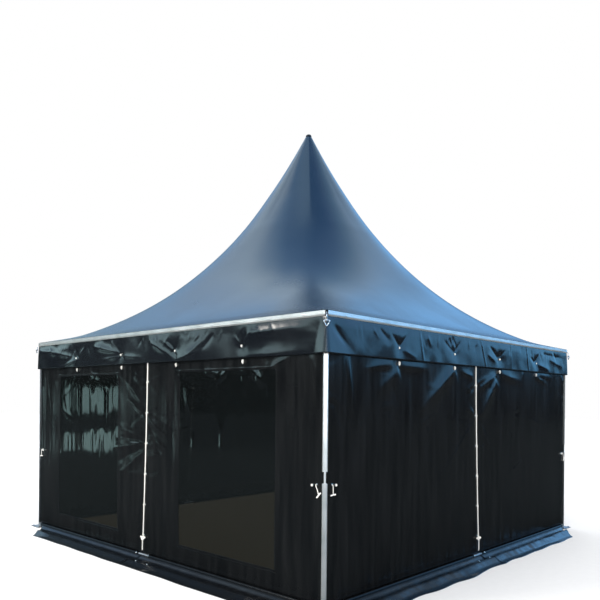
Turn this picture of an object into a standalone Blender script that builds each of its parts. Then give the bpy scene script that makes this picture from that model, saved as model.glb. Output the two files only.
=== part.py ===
"""A five metre pagoda tent: a high-peak roof on an aluminium frame, with laced wall panels.

Metres, +Z up. The origin is at the centre of the base, on the ground. Each of the four sides is modelled
as the front side, which looks along -Y, and turned about Z into its place. On a side, s runs along the wall
to the right as seen from outside, b is the distance inwards from the side plane, and z is the height.
At a corner, a and b are the distances inwards from the two side planes that meet there.
"""

import math

import bmesh
import bpy
from mathutils import Matrix

SIDES = ("front", "right", "back", "left")
CORNERS = ("front_right", "back_right", "back_left", "front_left")
WINDOW_SIDES = ("front", "back")

# Driving dimensions of the tent
SIDE = 5.0
HALF = SIDE / 2
EAVES_Z = 2.400
GAP = 0.0003
CUT_OVERRUN = 0.010

# Eaves rails: an extrusion with a keder slot in its top and one in its underside
RAIL_HEIGHT = 0.045
RAIL_DEPTH = 0.055
RAIL_WALL = 0.0035
RAIL_CHAMBER_B = 0.0185
RAIL_BOTTOM = EAVES_Z - RAIL_HEIGHT
MITRE_GAP = 0.019
SLOT_WIDTH = 0.0046
SLOT_DEPTH = 0.012
ROOF_SLOT_B = 0.012
VALANCE_SLOT_B = 0.010

# Coated fabric, drawn thicker than the real cloth
CLOTH = 0.004
PANE_THICKNESS = 0.002

# Roof
ROOF_LIFT = 0.005
APEX_RISE = 2.862
STEEP_SHARE = 0.583
STEEP_POWER = 3.18
FLAT_POWER = 1.23
ROUNDING_POWER = 1.0
ROOF_TOP_RADIUS = 0.036
ROOF_RINGS = 14
ROOF_STEPS = 12
ROOF_RING_CROWDING = 1.25
ROOF_SKIRT_CLEARANCE = 0.0025
SQUARE_BELOW = 0.001

# Valances
VALANCE_HEM_Z = 2.060
VALANCE_TOP_Z = 2.3647

# Legs: a track extrusion whose outer corner is cut off at 45 degrees
LEG_INSET = 0.014
LEG_CHAMFER = 0.022
LEG_LIP = 0.031
LEG_SLOT_END = 0.018
LEG_BODY = 0.019
LEG_SIZE = 0.085
LEG_WALL = 0.004
LEG_TOP = RAIL_BOTTOM - GAP
WALL_B = LEG_INSET + 0.010
NOTCH_LOW = 1.030
NOTCH_HIGH = 1.120
NOTCH_START = 0.017
NOTCH_LEAD_IN = 0.010
NOTCH_OVERRUN = 0.004

# Feet
PLATE_SIDE = 0.200
PLATE_THICKNESS = 0.008
PLATE_CENTRE = 0.055
SPIGOT_HEIGHT = 0.120
LUG_START = 0.100
LUG_THICKNESS = 0.008
LUG_TOP = 0.049
LUG_FRONT_B = 0.008
LUG_BACK_B = 0.045
PIN_LENGTH = 0.030

# Ground rods in the hems of the wall panels
ROD_RADIUS = 0.0125
ROD_WALL = 0.002
ROD_Z = 0.035

# Wall panels
WALL_TOP = 2.120
WALL_BOTTOM = 0.0495
WALL_EDGE_A = LEG_INSET + LEG_SLOT_END + 0.002
PANEL_EDGE_S = 0.0004
SLEEVE_RADIUS = 0.0165
SLEEVE_START_S = 0.088
SLEEVE_END_S = 2.385

# Ground flaps: heights of the middle of the cloth at distances b from the side plane
FLAP_SECTION = ((0.0105, 0.030), (-0.05, 0.034), (-0.10, 0.027), (-0.19, 0.0045), (-0.30, 0.0022))
FLAP_CORNER_S = 2.335
FLAP_TIP_S = 1.900
FLAP_STEPS = 6

# Windows
WINDOW_CENTRE_S = 1.240
WINDOW_WIDTH = 1.345
WINDOW_LOW = 0.240
WINDOW_HIGH = 1.950

# Lacing in the middle of each side
LACE_RADIUS = 0.004
LACE_TOP = 2.110
LACE_END = 0.100
LOOP_TOP = 1.860
LOOP_STEP = 0.323
LOOP_COUNT = 5
LOOP_RADIUS = 0.008
KNOT_Z = 0.230
KNOT_RADIUS = 0.014
LOOP_PROUD = 0.0009

# Mast, cables and corner brackets
MAST_RADIUS = 0.025
MAST_WALL = 0.003
MAST_FOOT_LOW = 2.170
MAST_FOOT_HIGH = 2.235
MAST_FOOT_RADIUS = 0.045
MAST_FOOT_SPIGOT_TOP = 2.330
CABLE_RADIUS = 0.005
CABLE_HEIGHTS = (2.212, 2.190)
CABLE_END_Z = 2.3725
CABLE_MOUTH = 0.002
CABLE_BORE_LENGTH = 0.120
CAP_RISE = 0.026
CAP_RADIUS = 0.038
CAP_PLUG_LENGTH = 0.090
CAP_RIM = 0.004
CAP_STEPS = 5
CAP_SEAT_LIFT = 0.003
ROUND_SEGMENTS = 24
BRACKET_WEB = 0.016
BRACKET_END = 0.105
BRACKET_TOP = 2.390
BRACKET_ARM = 0.160
BRACKET_SET_BACK = 0.004
NECK_START = 0.045
NECK_END = 0.085
NECK_DROP = 0.020
NECK_RISE = 0.005
LEG_SPIGOT_LENGTH = 0.150
PILLAR_RADIUS = 0.008
PILLAR_CENTRE = 0.0215


def clear_scene():
    """Remove what the file starts with."""
    for obj in list(bpy.data.objects):
        bpy.data.objects.remove(obj)


def new_collection(name):
    collection = bpy.data.collections.new(name)
    bpy.context.scene.collection.children.link(collection)
    return collection


def material(name, colour, roughness, metallic):
    """One finish, as a Principled BSDF."""
    made = bpy.data.materials.new(name)
    made.use_nodes = True
    shader = made.node_tree.nodes["Principled BSDF"]
    shader.inputs["Base Color"].default_value = (*colour, 1.0)
    shader.inputs["Roughness"].default_value = roughness
    shader.inputs["Metallic"].default_value = metallic
    return made


def black_coated_cloth(name):
    return material(name, (0.012, 0.014, 0.018), 0.25, 0.0)


def clear_film(name):
    return material(name, (0.35, 0.33, 0.30), 0.08, 0.0)


def anodised_aluminium(name):
    return material(name, (0.72, 0.73, 0.74), 0.35, 1.0)


def galvanised_steel(name):
    return material(name, (0.50, 0.51, 0.52), 0.45, 1.0)


def white_cord(name):
    return material(name, (0.75, 0.74, 0.70), 0.80, 0.0)


def turn(quarter):
    """The rotation that carries the front side, or the front right corner, to its place."""
    return Matrix.Rotation(quarter * math.pi / 2, 4, "Z")


def finish_mesh(bm, name):
    """Weld a bmesh, point its faces outwards and keep it as a mesh."""
    bmesh.ops.remove_doubles(bm, verts=bm.verts, dist=0.00002)
    bmesh.ops.recalc_face_normals(bm, faces=bm.faces)
    mesh = bpy.data.meshes.new(name)
    bm.to_mesh(mesh)
    bm.free()
    return mesh


def box_mesh(name, low, high):
    """A box between two corners."""
    bm = bmesh.new()
    bmesh.ops.create_cube(bm, size=1.0)
    for vert in bm.verts:
        for axis in range(3):
            vert.co[axis] = low[axis] + (vert.co[axis] + 0.5) * (high[axis] - low[axis])
    return finish_mesh(bm, name)


def rod_mesh(name, radius, length, place, segments=16):
    """A solid round bar of that length along +Z from the origin, moved by the matrix place."""
    bm = bmesh.new()
    bmesh.ops.create_cone(
        bm, cap_ends=True, segments=segments, radius1=radius, radius2=radius, depth=length
    )
    bmesh.ops.translate(bm, verts=bm.verts, vec=(0, 0, length / 2))
    bmesh.ops.transform(bm, matrix=place, verts=bm.verts)
    return finish_mesh(bm, name)


def ball_mesh(name, radius, centre):
    """A ball with few faces."""
    bm = bmesh.new()
    bmesh.ops.create_uvsphere(bm, u_segments=10, v_segments=6, radius=radius)
    bmesh.ops.translate(bm, verts=bm.verts, vec=centre)
    return finish_mesh(bm, name)


def evaluated_mesh(obj, name):
    """The mesh of an object with its modifiers or its bevel applied, welded."""
    bpy.context.view_layer.update()
    graph = bpy.context.evaluated_depsgraph_get()
    source = bpy.data.meshes.new_from_object(obj.evaluated_get(graph))
    bm = bmesh.new()
    bm.from_mesh(source)
    bmesh.ops.transform(bm, matrix=obj.matrix_world, verts=bm.verts)
    bpy.data.meshes.remove(source)
    return finish_mesh(bm, name)


def curve_object(name, dimensions):
    curve = bpy.data.curves.new(name, "CURVE")
    curve.dimensions = dimensions
    obj = bpy.data.objects.new(name, curve)
    bpy.context.scene.collection.objects.link(obj)
    return obj


def add_spline(curve, points, closed):
    """One straight-sided spline through the points."""
    spline = curve.splines.new("POLY")
    spline.points.add(len(points) - 1)
    for knot, point in zip(spline.points, points, strict=True):
        knot.co = (point[0], point[1], point[2] if len(point) > 2 else 0.0, 1.0)
    spline.use_cyclic_u = closed


def extrusion_mesh(name, outlines, half_length):
    """A profile, its holes included, extruded both ways along Z."""
    obj = curve_object(name, "2D")
    for outline in outlines:
        add_spline(obj.data, outline, closed=True)
    obj.data.fill_mode = "BOTH"
    obj.data.extrude = half_length
    mesh = evaluated_mesh(obj, name)
    bpy.data.objects.remove(obj)
    return mesh


def wire_mesh(name, points, radius):
    """A round wire along the points, with its ends closed."""
    obj = curve_object(name, "3D")
    add_spline(obj.data, points, closed=False)
    obj.data.bevel_depth = radius
    obj.data.bevel_resolution = 2
    obj.data.use_fill_caps = True
    mesh = evaluated_mesh(obj, name)
    bpy.data.objects.remove(obj)
    return mesh


def tool_object(mesh, tools):
    """A mesh kept as a cutter or a piece to join, out of the render."""
    obj = bpy.data.objects.new(mesh.name, mesh)
    obj.hide_render = True
    obj.display_type = "WIRE"
    tools.objects.link(obj)
    return obj


def carved(name, base, tools, joined=(), cut=()):
    """One mesh: the base with some meshes joined to it and others cut from it."""
    obj = tool_object(base, tools)
    steps = [(mesh, "UNION") for mesh in joined] + [(mesh, "DIFFERENCE") for mesh in cut]
    for mesh, operation in steps:
        step = obj.modifiers.new(mesh.name, "BOOLEAN")
        step.operation = operation
        step.solver = "EXACT"
        step.object = tool_object(mesh, tools)
    mesh = evaluated_mesh(obj, name)
    bpy.data.objects.remove(obj)
    return mesh


def mirrored(mesh, name):
    """The same mesh on the other side of x = 0."""
    bm = bmesh.new()
    bm.from_mesh(mesh)
    bmesh.ops.scale(bm, vec=(-1, 1, 1), verts=bm.verts)
    bmesh.ops.reverse_faces(bm, faces=bm.faces)
    return finish_mesh(bm, name)


def place(name, mesh, finish, parts, quarter=0, smooth=False):
    """A sub-part of the tent, as an object turned to its side or corner."""
    own = mesh.copy()
    own.name = name
    own.materials.clear()
    own.materials.append(finish)
    if smooth:
        own.shade_smooth()
        own.set_sharp_from_angle(angle=math.radians(35))
    obj = bpy.data.objects.new(name, own)
    obj.matrix_world = turn(quarter)
    parts.objects.link(obj)
    return obj


def rectangle(low_x, low_y, high_x, high_y):
    return [(low_x, low_y), (high_x, low_y), (high_x, high_y), (low_x, high_y)]


def rail_outlines():
    """The rail's section: x is b, the distance inwards, and y is the height above the rail's underside."""
    half = SLOT_WIDTH / 2
    outline = [
        (0.0, 0.0),
        (VALANCE_SLOT_B - half, 0.0),
        (VALANCE_SLOT_B - half, SLOT_DEPTH),
        (VALANCE_SLOT_B + half, SLOT_DEPTH),
        (VALANCE_SLOT_B + half, 0.0),
        (RAIL_DEPTH, 0.0),
        (RAIL_DEPTH, RAIL_HEIGHT),
        (ROOF_SLOT_B + half, RAIL_HEIGHT),
        (ROOF_SLOT_B + half, RAIL_HEIGHT - SLOT_DEPTH),
        (ROOF_SLOT_B - half, RAIL_HEIGHT - SLOT_DEPTH),
        (ROOF_SLOT_B - half, RAIL_HEIGHT),
        (0.0, RAIL_HEIGHT),
    ]
    chamber = rectangle(
        RAIL_CHAMBER_B, RAIL_WALL, RAIL_DEPTH - RAIL_WALL, RAIL_HEIGHT - RAIL_WALL
    )
    return [outline, chamber]


def rail_mesh():
    """The front rail, with its ends mitred back from the corners."""
    mesh = extrusion_mesh("rail", rail_outlines(), HALF)
    for vert in mesh.vertices:
        b, height, along = vert.co
        reach = HALF - MITRE_GAP - b
        vert.co = (math.copysign(reach, along), b - HALF, RAIL_BOTTOM + height)
    return mesh


def leg_outlines():
    """The leg's section in a and b, as x and y of the front right corner."""
    half = SLOT_WIDTH / 2
    slot = WALL_B - LEG_INSET
    side = [
        (LEG_CHAMFER, 0.0),
        (LEG_LIP, 0.0),
        (LEG_LIP, slot - half),
        (LEG_SLOT_END, slot - half),
        (LEG_SLOT_END, slot + half),
        (LEG_LIP, slot + half),
        (LEG_LIP, LEG_BODY),
        (LEG_SIZE, LEG_BODY),
    ]
    outline = side + [(LEG_SIZE, LEG_SIZE)] + [(b, a) for a, b in reversed(side)]
    low, high = LEG_BODY + LEG_WALL, LEG_SIZE - LEG_WALL
    chamber = rectangle(low, low, high, high)
    return [[corner_point(a + LEG_INSET, b + LEG_INSET) for a, b in loop] for loop in (outline, chamber)]


def corner_point(a, b):
    """x and y of a place at the front right corner."""
    return (HALF - a, b - HALF)


def corner_box(name, a_range, b_range, z_range):
    """A box at the front right corner."""
    low_x, low_y = corner_point(a_range[1], b_range[0])
    high_x, high_y = corner_point(a_range[0], b_range[1])
    return box_mesh(name, (low_x, low_y, z_range[0]), (high_x, high_y, z_range[1]))


def notch_cutter(name, swapped):
    """The cut that opens one track of a leg so that a panel's edge can be fed in, with a sloped lower end."""
    start = LEG_INSET + NOTCH_START
    across = (start, LEG_INSET + LEG_LIP + NOTCH_OVERRUN)
    deep = (LEG_INSET - NOTCH_OVERRUN, WALL_B)
    ranges = (deep, across) if swapped else (across, deep)
    mesh = corner_box(name, *ranges, (NOTCH_LOW, NOTCH_HIGH))
    for vert in mesh.vertices:
        a, b = HALF - vert.co.x, vert.co.y + HALF
        outer = a if swapped else b
        if vert.co.z < NOTCH_HIGH and outer < LEG_INSET:
            vert.co.z -= NOTCH_LEAD_IN
    return mesh


def leg_mesh(tools):
    """A leg from its foot plate up to the underside of the rails, with the two feed-in notches."""
    low = PLATE_THICKNESS + GAP
    length = LEG_TOP - low
    base = extrusion_mesh("leg_section", leg_outlines(), length / 2)
    base.transform(Matrix.Translation((0, 0, low + length / 2)))
    notches = [notch_cutter("leg_notch_front", False), notch_cutter("leg_notch_side", True)]
    return carved("leg", base, tools, cut=notches)


def lug_pieces(tag, swapped):
    """The lug and the pin that carry one end of a ground rod."""
    across = (LUG_START, LUG_START + LUG_THICKNESS)
    deep = (LUG_FRONT_B, LUG_BACK_B)
    ranges = (deep, across) if swapped else (across, deep)
    lug = corner_box("foot_lug_" + tag, *ranges, (PLATE_THICKNESS / 2, LUG_TOP))
    start = LUG_START + LUG_THICKNESS / 2
    length = PIN_LENGTH + LUG_THICKNESS / 2
    radius = ROD_RADIUS - ROD_WALL - GAP
    if swapped:
        x, y = corner_point(WALL_B, start)
        aim = Matrix.Rotation(-math.pi / 2, 4, "X")
    else:
        x, y = corner_point(start, WALL_B)
        aim = Matrix.Rotation(-math.pi / 2, 4, "Y")
    pin = rod_mesh("foot_pin_" + tag, radius, length, Matrix.Translation((x, y, ROD_Z)) @ aim)
    return [lug, pin]


def foot_mesh(tools):
    """A foot: the plate on the ground, the spigot inside the leg and the pins for two ground rods."""
    low, high = PLATE_CENTRE - PLATE_SIDE / 2, PLATE_CENTRE + PLATE_SIDE / 2
    plate = corner_box("foot_plate", (low, high), (low, high), (0.0, PLATE_THICKNESS))
    inside = LEG_INSET + LEG_BODY + LEG_WALL + GAP
    outside = LEG_INSET + LEG_SIZE - LEG_WALL - GAP
    spigot = corner_box(
        "foot_spigot", (inside, outside), (inside, outside), (PLATE_THICKNESS / 2, SPIGOT_HEIGHT)
    )
    joined = [spigot] + lug_pieces("front", False) + lug_pieces("side", True)
    return carved("foot", plate, tools, joined=joined)


def diagonal_box(name, start, end, z_range):
    """A box along the corner's diagonal, from a = b = start to a = b = end."""
    root2 = math.sqrt(2)
    low = (start * root2, -BRACKET_WEB / 2, z_range[0])
    high = (end * root2, BRACKET_WEB / 2, z_range[1])
    mesh = box_mesh(name, low, high)
    aim = Matrix.Rotation(math.radians(135), 4, "Z")
    mesh.transform(Matrix.Translation((HALF, -HALF, 0)) @ aim)
    return mesh


def bracket_mesh(tools):
    """A corner bracket: arms inside two rails, a spigot in the leg and a web that holds a cable's end."""
    web = diagonal_box("bracket_web", PILLAR_CENTRE, BRACKET_END, (RAIL_BOTTOM, BRACKET_TOP))
    neck_heights = (LEG_TOP - NECK_DROP, RAIL_BOTTOM + NECK_RISE)
    neck = diagonal_box("bracket_neck", NECK_START, NECK_END, neck_heights)
    x, y = corner_point(PILLAR_CENTRE, PILLAR_CENTRE)
    pillar = rod_mesh(
        "bracket_pillar",
        PILLAR_RADIUS,
        BRACKET_TOP - RAIL_BOTTOM,
        Matrix.Translation((x, y, RAIL_BOTTOM)),
    )
    low, high = RAIL_CHAMBER_B + GAP, RAIL_DEPTH - RAIL_WALL - GAP
    heights = (RAIL_BOTTOM + RAIL_WALL + GAP, EAVES_Z - RAIL_WALL - GAP)
    arm_start = high - MITRE_GAP + BRACKET_SET_BACK
    arm_front = corner_box("bracket_arm_front", (arm_start, BRACKET_ARM), (low, high), heights)
    arm_side = corner_box("bracket_arm_side", (low, high), (arm_start, BRACKET_ARM), heights)
    inside = LEG_INSET + LEG_BODY + LEG_WALL + GAP
    outside = LEG_INSET + LEG_SIZE - LEG_WALL - GAP
    spigot = corner_box(
        "bracket_spigot", (inside, outside), (inside, outside), (LEG_TOP - LEG_SPIGOT_LENGTH, LEG_TOP - GAP)
    )
    return carved("bracket", web, tools, joined=[neck, pillar, arm_front, arm_side, spigot])


def hip_height(radius, reach):
    """Height of the roof above a place on its hip, at that distance from the mast."""
    left = 1 - radius / reach
    steep = STEEP_SHARE * left**STEEP_POWER
    flat = (1 - STEEP_SHARE) * left**FLAT_POWER
    return EAVES_Z + ROOF_LIFT + APEX_RISE * (steep + flat)


def contour_radius(hip_radius, reach, angle):
    """Distance from the mast to the roof's contour: square at the eaves, round at the top."""
    inverse_power = 0.5 * (1 - hip_radius / reach) ** ROUNDING_POWER
    large = max(abs(math.cos(angle)), abs(math.sin(angle)))
    small = min(abs(math.cos(angle)), abs(math.sin(angle)))
    across = hip_radius * 2**inverse_power / math.sqrt(2)
    if inverse_power < SQUARE_BELOW:
        return across / large
    return across / (large * (1 + (small / large) ** (1 / inverse_power)) ** inverse_power)


def roof_mesh():
    """The roof skin as a loft of contours from the rails' slots to the ring at the mast's head."""
    edge = HALF - ROOF_SLOT_B + CLOTH / 2
    reach = edge * math.sqrt(2)
    angles = []
    for quarter in range(4):
        for step in range(ROOF_STEPS):
            along = -1 + 2 * step / ROOF_STEPS
            angles.append(math.atan2(along, 1.0) + quarter * math.pi / 2)
    radii = [
        ROOF_TOP_RADIUS + (reach - ROOF_TOP_RADIUS) * (1 - ring / ROOF_RINGS) ** ROOF_RING_CROWDING
        for ring in range(ROOF_RINGS + 1)
    ]
    bm = bmesh.new()
    rings = []
    skirt_z = EAVES_Z - SLOT_DEPTH + ROOF_SKIRT_CLEARANCE
    levels = [(reach, skirt_z)] + [(radius, hip_height(radius, reach)) for radius in radii]
    for hip_radius, z in levels:
        ring = []
        for angle in angles:
            r = contour_radius(hip_radius, reach, angle)
            ring.append(bm.verts.new((r * math.cos(angle), r * math.sin(angle), z)))
        rings.append(ring)
    count = len(angles)
    for lower, upper in zip(rings, rings[1:], strict=False):
        for i in range(count):
            bm.faces.new((lower[i], lower[(i + 1) % count], upper[(i + 1) % count], upper[i]))
    mesh = bpy.data.meshes.new("roof_skin")
    bm.to_mesh(mesh)
    bm.free()
    return mesh


def thickened(mesh, name, offset):
    """A closed solid from an open sheet."""
    obj = bpy.data.objects.new(name, mesh)
    bpy.context.scene.collection.objects.link(obj)
    solid = obj.modifiers.new("cloth", "SOLIDIFY")
    solid.thickness = CLOTH
    solid.offset = offset
    solid.use_even_offset = True
    result = evaluated_mesh(obj, name)
    bpy.data.objects.remove(obj)
    return result


def flap_mesh(name):
    """The right-hand ground flap: it leaves the rod's sleeve, falls to the ground and lies flat."""
    inner_b, outer_b = FLAP_SECTION[0][0], FLAP_SECTION[-1][0]
    bm = bmesh.new()
    rows = []
    for b, z in FLAP_SECTION:
        share = (inner_b - b) / (inner_b - outer_b)
        end = FLAP_CORNER_S + share * (FLAP_TIP_S - FLAP_CORNER_S)
        row = []
        for step in range(FLAP_STEPS + 1):
            s = PANEL_EDGE_S + (end - PANEL_EDGE_S) * step / FLAP_STEPS
            row.append(bm.verts.new((s, b - HALF, z)))
        rows.append(row)
    for inner, outer in zip(rows, rows[1:], strict=False):
        for i in range(FLAP_STEPS):
            bm.faces.new((inner[i], outer[i], outer[i + 1], inner[i + 1]))
    mesh = bpy.data.meshes.new(name)
    bm.to_mesh(mesh)
    bm.free()
    return thickened(mesh, name, 0.0)


def along_wall(name, radius, start, end):
    """A round bar along the rod's line."""
    lie = Matrix.Translation((start, WALL_B - HALF, ROD_Z)) @ Matrix.Rotation(math.pi / 2, 4, "Y")
    return rod_mesh(name, radius, end - start, lie)


def panel_mesh(name, with_window, tools):
    """A right-hand wall panel: the sheet, the rod's sleeve, the ground flap, and a window's opening."""
    low_b, high_b = WALL_B - CLOTH / 2 - HALF, WALL_B + CLOTH / 2 - HALF
    edge_s = HALF - WALL_EDGE_A
    sheet = box_mesh(name + "_sheet", (PANEL_EDGE_S, low_b, WALL_BOTTOM), (edge_s, high_b, WALL_TOP))
    sleeve = along_wall(name + "_sleeve", SLEEVE_RADIUS, SLEEVE_START_S, SLEEVE_END_S)
    bore_start, bore_end = SLEEVE_START_S - CUT_OVERRUN, SLEEVE_END_S + CUT_OVERRUN
    bore = along_wall(name + "_bore", ROD_RADIUS + GAP, bore_start, bore_end)
    cut = [bore]
    if with_window:
        half = WINDOW_WIDTH / 2
        low = (WINDOW_CENTRE_S - half, low_b - CUT_OVERRUN, WINDOW_LOW)
        high = (WINDOW_CENTRE_S + half, high_b + CUT_OVERRUN, WINDOW_HIGH)
        cut.append(box_mesh(name + "_window", low, high))
    return carved(name, sheet, tools, joined=[sleeve, flap_mesh(name + "_flap")], cut=cut)


def pane_mesh(name):
    """A clear window pane that fills its opening."""
    half = WINDOW_WIDTH / 2 - GAP
    low_b, high_b = WALL_B - PANE_THICKNESS / 2 - HALF, WALL_B + PANE_THICKNESS / 2 - HALF
    low = (WINDOW_CENTRE_S - half, low_b, WINDOW_LOW + GAP)
    high = (WINDOW_CENTRE_S + half, high_b, WINDOW_HIGH - GAP)
    return box_mesh(name, low, high)


def valance_mesh(name, end_s):
    """A valance: the strip that hangs from the slot in the rail's underside."""
    low_b, high_b = VALANCE_SLOT_B - CLOTH / 2 - HALF, VALANCE_SLOT_B + CLOTH / 2 - HALF
    return box_mesh(name, (-end_s, low_b, VALANCE_HEM_Z), (end_s, high_b, VALANCE_TOP_Z))


def rod_tube_mesh(tools):
    """A ground rod: a tube from foot to foot."""
    end = HALF - LUG_START - LUG_THICKNESS - GAP
    outer = along_wall("rod_outer", ROD_RADIUS, -end, end)
    inner = along_wall("rod_bore", ROD_RADIUS - ROD_WALL, -end - CUT_OVERRUN, end + CUT_OVERRUN)
    return carved("rod", outer, tools, cut=[inner])


def lacing_mesh(tools):
    """The cord that closes the middle of a side, with its loops, its knot and its tail."""
    face = WALL_B - CLOTH / 2 - GAP
    cord_b = face - LACE_RADIUS - HALF
    cord = wire_mesh("lace_cord", [(0, cord_b, LACE_TOP), (0, cord_b, LACE_END)], LACE_RADIUS)
    front = face - LOOP_PROUD - HALF
    balls = [
        ball_mesh(f"lace_loop_{i}", LOOP_RADIUS, (0, front - LOOP_RADIUS, LOOP_TOP - i * LOOP_STEP))
        for i in range(LOOP_COUNT)
    ]
    balls.append(ball_mesh("lace_knot", KNOT_RADIUS, (0, front - KNOT_RADIUS, KNOT_Z)))
    return carved("lace", cord, tools, joined=balls)


def turned_mesh(name, profile):
    """A solid turned about Z from a profile of radius and height, top to bottom."""
    mesh = bpy.data.meshes.new(name)
    count = len(profile)
    mesh.from_pydata(
        [(radius, 0, z) for radius, z in profile], [(i, i + 1) for i in range(count - 1)], []
    )
    obj = bpy.data.objects.new(name, mesh)
    bpy.context.scene.collection.objects.link(obj)
    screw = obj.modifiers.new("turn", "SCREW")
    screw.steps = ROUND_SEGMENTS
    screw.render_steps = ROUND_SEGMENTS
    screw.use_merge_vertices = True
    screw.merge_threshold = 0.00005
    result = evaluated_mesh(obj, name)
    bpy.data.objects.remove(obj)
    return result


def seat_height():
    """Height of the face on which the peak cap sits, just above the roof's top ring."""
    edge = HALF - ROOF_SLOT_B + CLOTH / 2
    return hip_height(ROOF_TOP_RADIUS, edge * math.sqrt(2)) + CAP_SEAT_LIFT


def cap_mesh():
    """The peak cap: a small dome with a plug inside the mast."""
    seat = seat_height()
    dome = []
    for step in range(CAP_STEPS + 1):
        angle = math.pi / 2 * step / CAP_STEPS
        height = seat + CAP_RIM + (CAP_RISE - CAP_RIM) * math.cos(angle)
        dome.append((CAP_RADIUS * math.sin(angle), height))
    plug_radius = MAST_RADIUS - MAST_WALL - GAP
    profile = dome + [
        (CAP_RADIUS, seat),
        (plug_radius, seat),
        (plug_radius, seat - CAP_PLUG_LENGTH),
        (0.0, seat - CAP_PLUG_LENGTH),
    ]
    return turned_mesh("cap", profile)


def mast_mesh(tools):
    """The mast: a tube from its foot on the cables to the cap."""
    low, high = MAST_FOOT_HIGH + GAP, seat_height() - GAP
    lie = Matrix.Translation((0, 0, low))
    outer = rod_mesh("mast_outer", MAST_RADIUS, high - low, lie, ROUND_SEGMENTS)
    inner = rod_mesh(
        "mast_bore",
        MAST_RADIUS - MAST_WALL,
        high - low + 2 * CUT_OVERRUN,
        Matrix.Translation((0, 0, low - CUT_OVERRUN)),
        ROUND_SEGMENTS,
    )
    return carved("mast", outer, tools, cut=[inner])


def mast_foot_mesh(tools):
    """The mast's foot: a round block with a spigot, and two crossing bores for the cables."""
    height = MAST_FOOT_HIGH - MAST_FOOT_LOW
    lie = Matrix.Translation((0, 0, MAST_FOOT_LOW))
    block = rod_mesh("foot_block", MAST_FOOT_RADIUS, height, lie, ROUND_SEGMENTS)
    spigot = rod_mesh(
        "foot_block_spigot",
        MAST_RADIUS - MAST_WALL - GAP,
        MAST_FOOT_SPIGOT_TOP - MAST_FOOT_HIGH + CUT_OVERRUN,
        Matrix.Translation((0, 0, MAST_FOOT_HIGH - CUT_OVERRUN)),
        ROUND_SEGMENTS,
    )
    bores = []
    for number, z in enumerate(CABLE_HEIGHTS):
        aim = Matrix.Rotation(math.radians(45 - 90 * number), 4, "Z") @ Matrix.Rotation(math.pi / 2, 4, "Y")
        lie = Matrix.Translation((0, 0, z)) @ aim @ Matrix.Translation((0, 0, -CABLE_BORE_LENGTH / 2))
        bores.append(rod_mesh(f"cable_bore_{number}", CABLE_RADIUS + GAP, CABLE_BORE_LENGTH, lie))
    return carved("mast_foot", block, tools, joined=[spigot], cut=bores)


def cable_mesh(number):
    """A steel cable from one corner bracket through the mast's foot to the opposite one."""
    end = (HALF - BRACKET_END) * math.sqrt(2) - GAP
    mouth = MAST_FOOT_RADIUS + CABLE_MOUTH
    z = CABLE_HEIGHTS[number]
    angle = math.radians(45 - 90 * number)
    points = [
        (reach * math.cos(angle), reach * math.sin(angle), height)
        for reach, height in ((-end, CABLE_END_Z), (-mouth, z), (mouth, z), (end, CABLE_END_Z))
    ]
    return wire_mesh(f"cable_{number}", points, CABLE_RADIUS)


def build_frame(parts, tools):
    """Rails, legs, feet, brackets, mast and cables."""
    rail, leg, foot, bracket = rail_mesh(), leg_mesh(tools), foot_mesh(tools), bracket_mesh(tools)
    rod = rod_tube_mesh(tools)
    for quarter, side in enumerate(SIDES):
        place("eaves_rail_" + side, rail, anodised_aluminium("rail_" + side), parts, quarter)
        place("ground_rod_" + side, rod, galvanised_steel("rod_" + side), parts, quarter, smooth=True)
    for quarter, corner in enumerate(CORNERS):
        place("leg_" + corner, leg, anodised_aluminium("leg_" + corner), parts, quarter)
        place("foot_" + corner, foot, galvanised_steel("foot_" + corner), parts, quarter)
        place("corner_bracket_" + corner, bracket, galvanised_steel("bracket_" + corner), parts, quarter)
    place("mast", mast_mesh(tools), anodised_aluminium("mast"), parts, smooth=True)
    place("mast_foot", mast_foot_mesh(tools), galvanised_steel("mast_foot"), parts, smooth=True)
    for number, name in enumerate(("cross_cable_upper", "cross_cable_lower")):
        place(name, cable_mesh(number), galvanised_steel(name), parts, smooth=True)
    place("peak_cap", cap_mesh(), black_coated_cloth("cap"), parts, smooth=True)


def build_covers(parts, tools):
    """Roof, valances, wall panels, window panes and lacings."""
    roof = thickened(roof_mesh(), "roof", -1.0)
    place("roof_canopy", roof, black_coated_cloth("roof"), parts, smooth=True)
    long_end = HALF - VALANCE_SLOT_B + CLOTH / 2
    short_end = HALF - VALANCE_SLOT_B - CLOTH / 2 - GAP
    lacing = lacing_mesh(tools)
    plain = panel_mesh("panel_plain", False, tools)
    glazed = panel_mesh("panel_window", True, tools)
    pane = pane_mesh("pane")
    for quarter, side in enumerate(SIDES):
        windows = side in WINDOW_SIDES
        valance = valance_mesh("valance", long_end if windows else short_end)
        place("valance_" + side, valance, black_coated_cloth("valance_" + side), parts, quarter)
        panel = glazed if windows else plain
        for hand, mesh in (("right", panel), ("left", mirrored(panel, "panel_left"))):
            name = f"wall_{side}_{hand}"
            place(name, mesh, black_coated_cloth(name), parts, quarter)
        if windows:
            for hand, mesh in (("right", pane), ("left", mirrored(pane, "pane_left"))):
                name = f"window_{side}_{hand}"
                place(name, mesh, clear_film(name), parts, quarter)
        place("lacing_" + side, lacing, white_cord("lacing_" + side), parts, quarter, smooth=True)


def build():
    clear_scene()
    parts = new_collection("pagoda_tent")
    tools = new_collection("pagoda_tent_cutters")
    build_frame(parts, tools)
    build_covers(parts, tools)


build()
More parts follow.
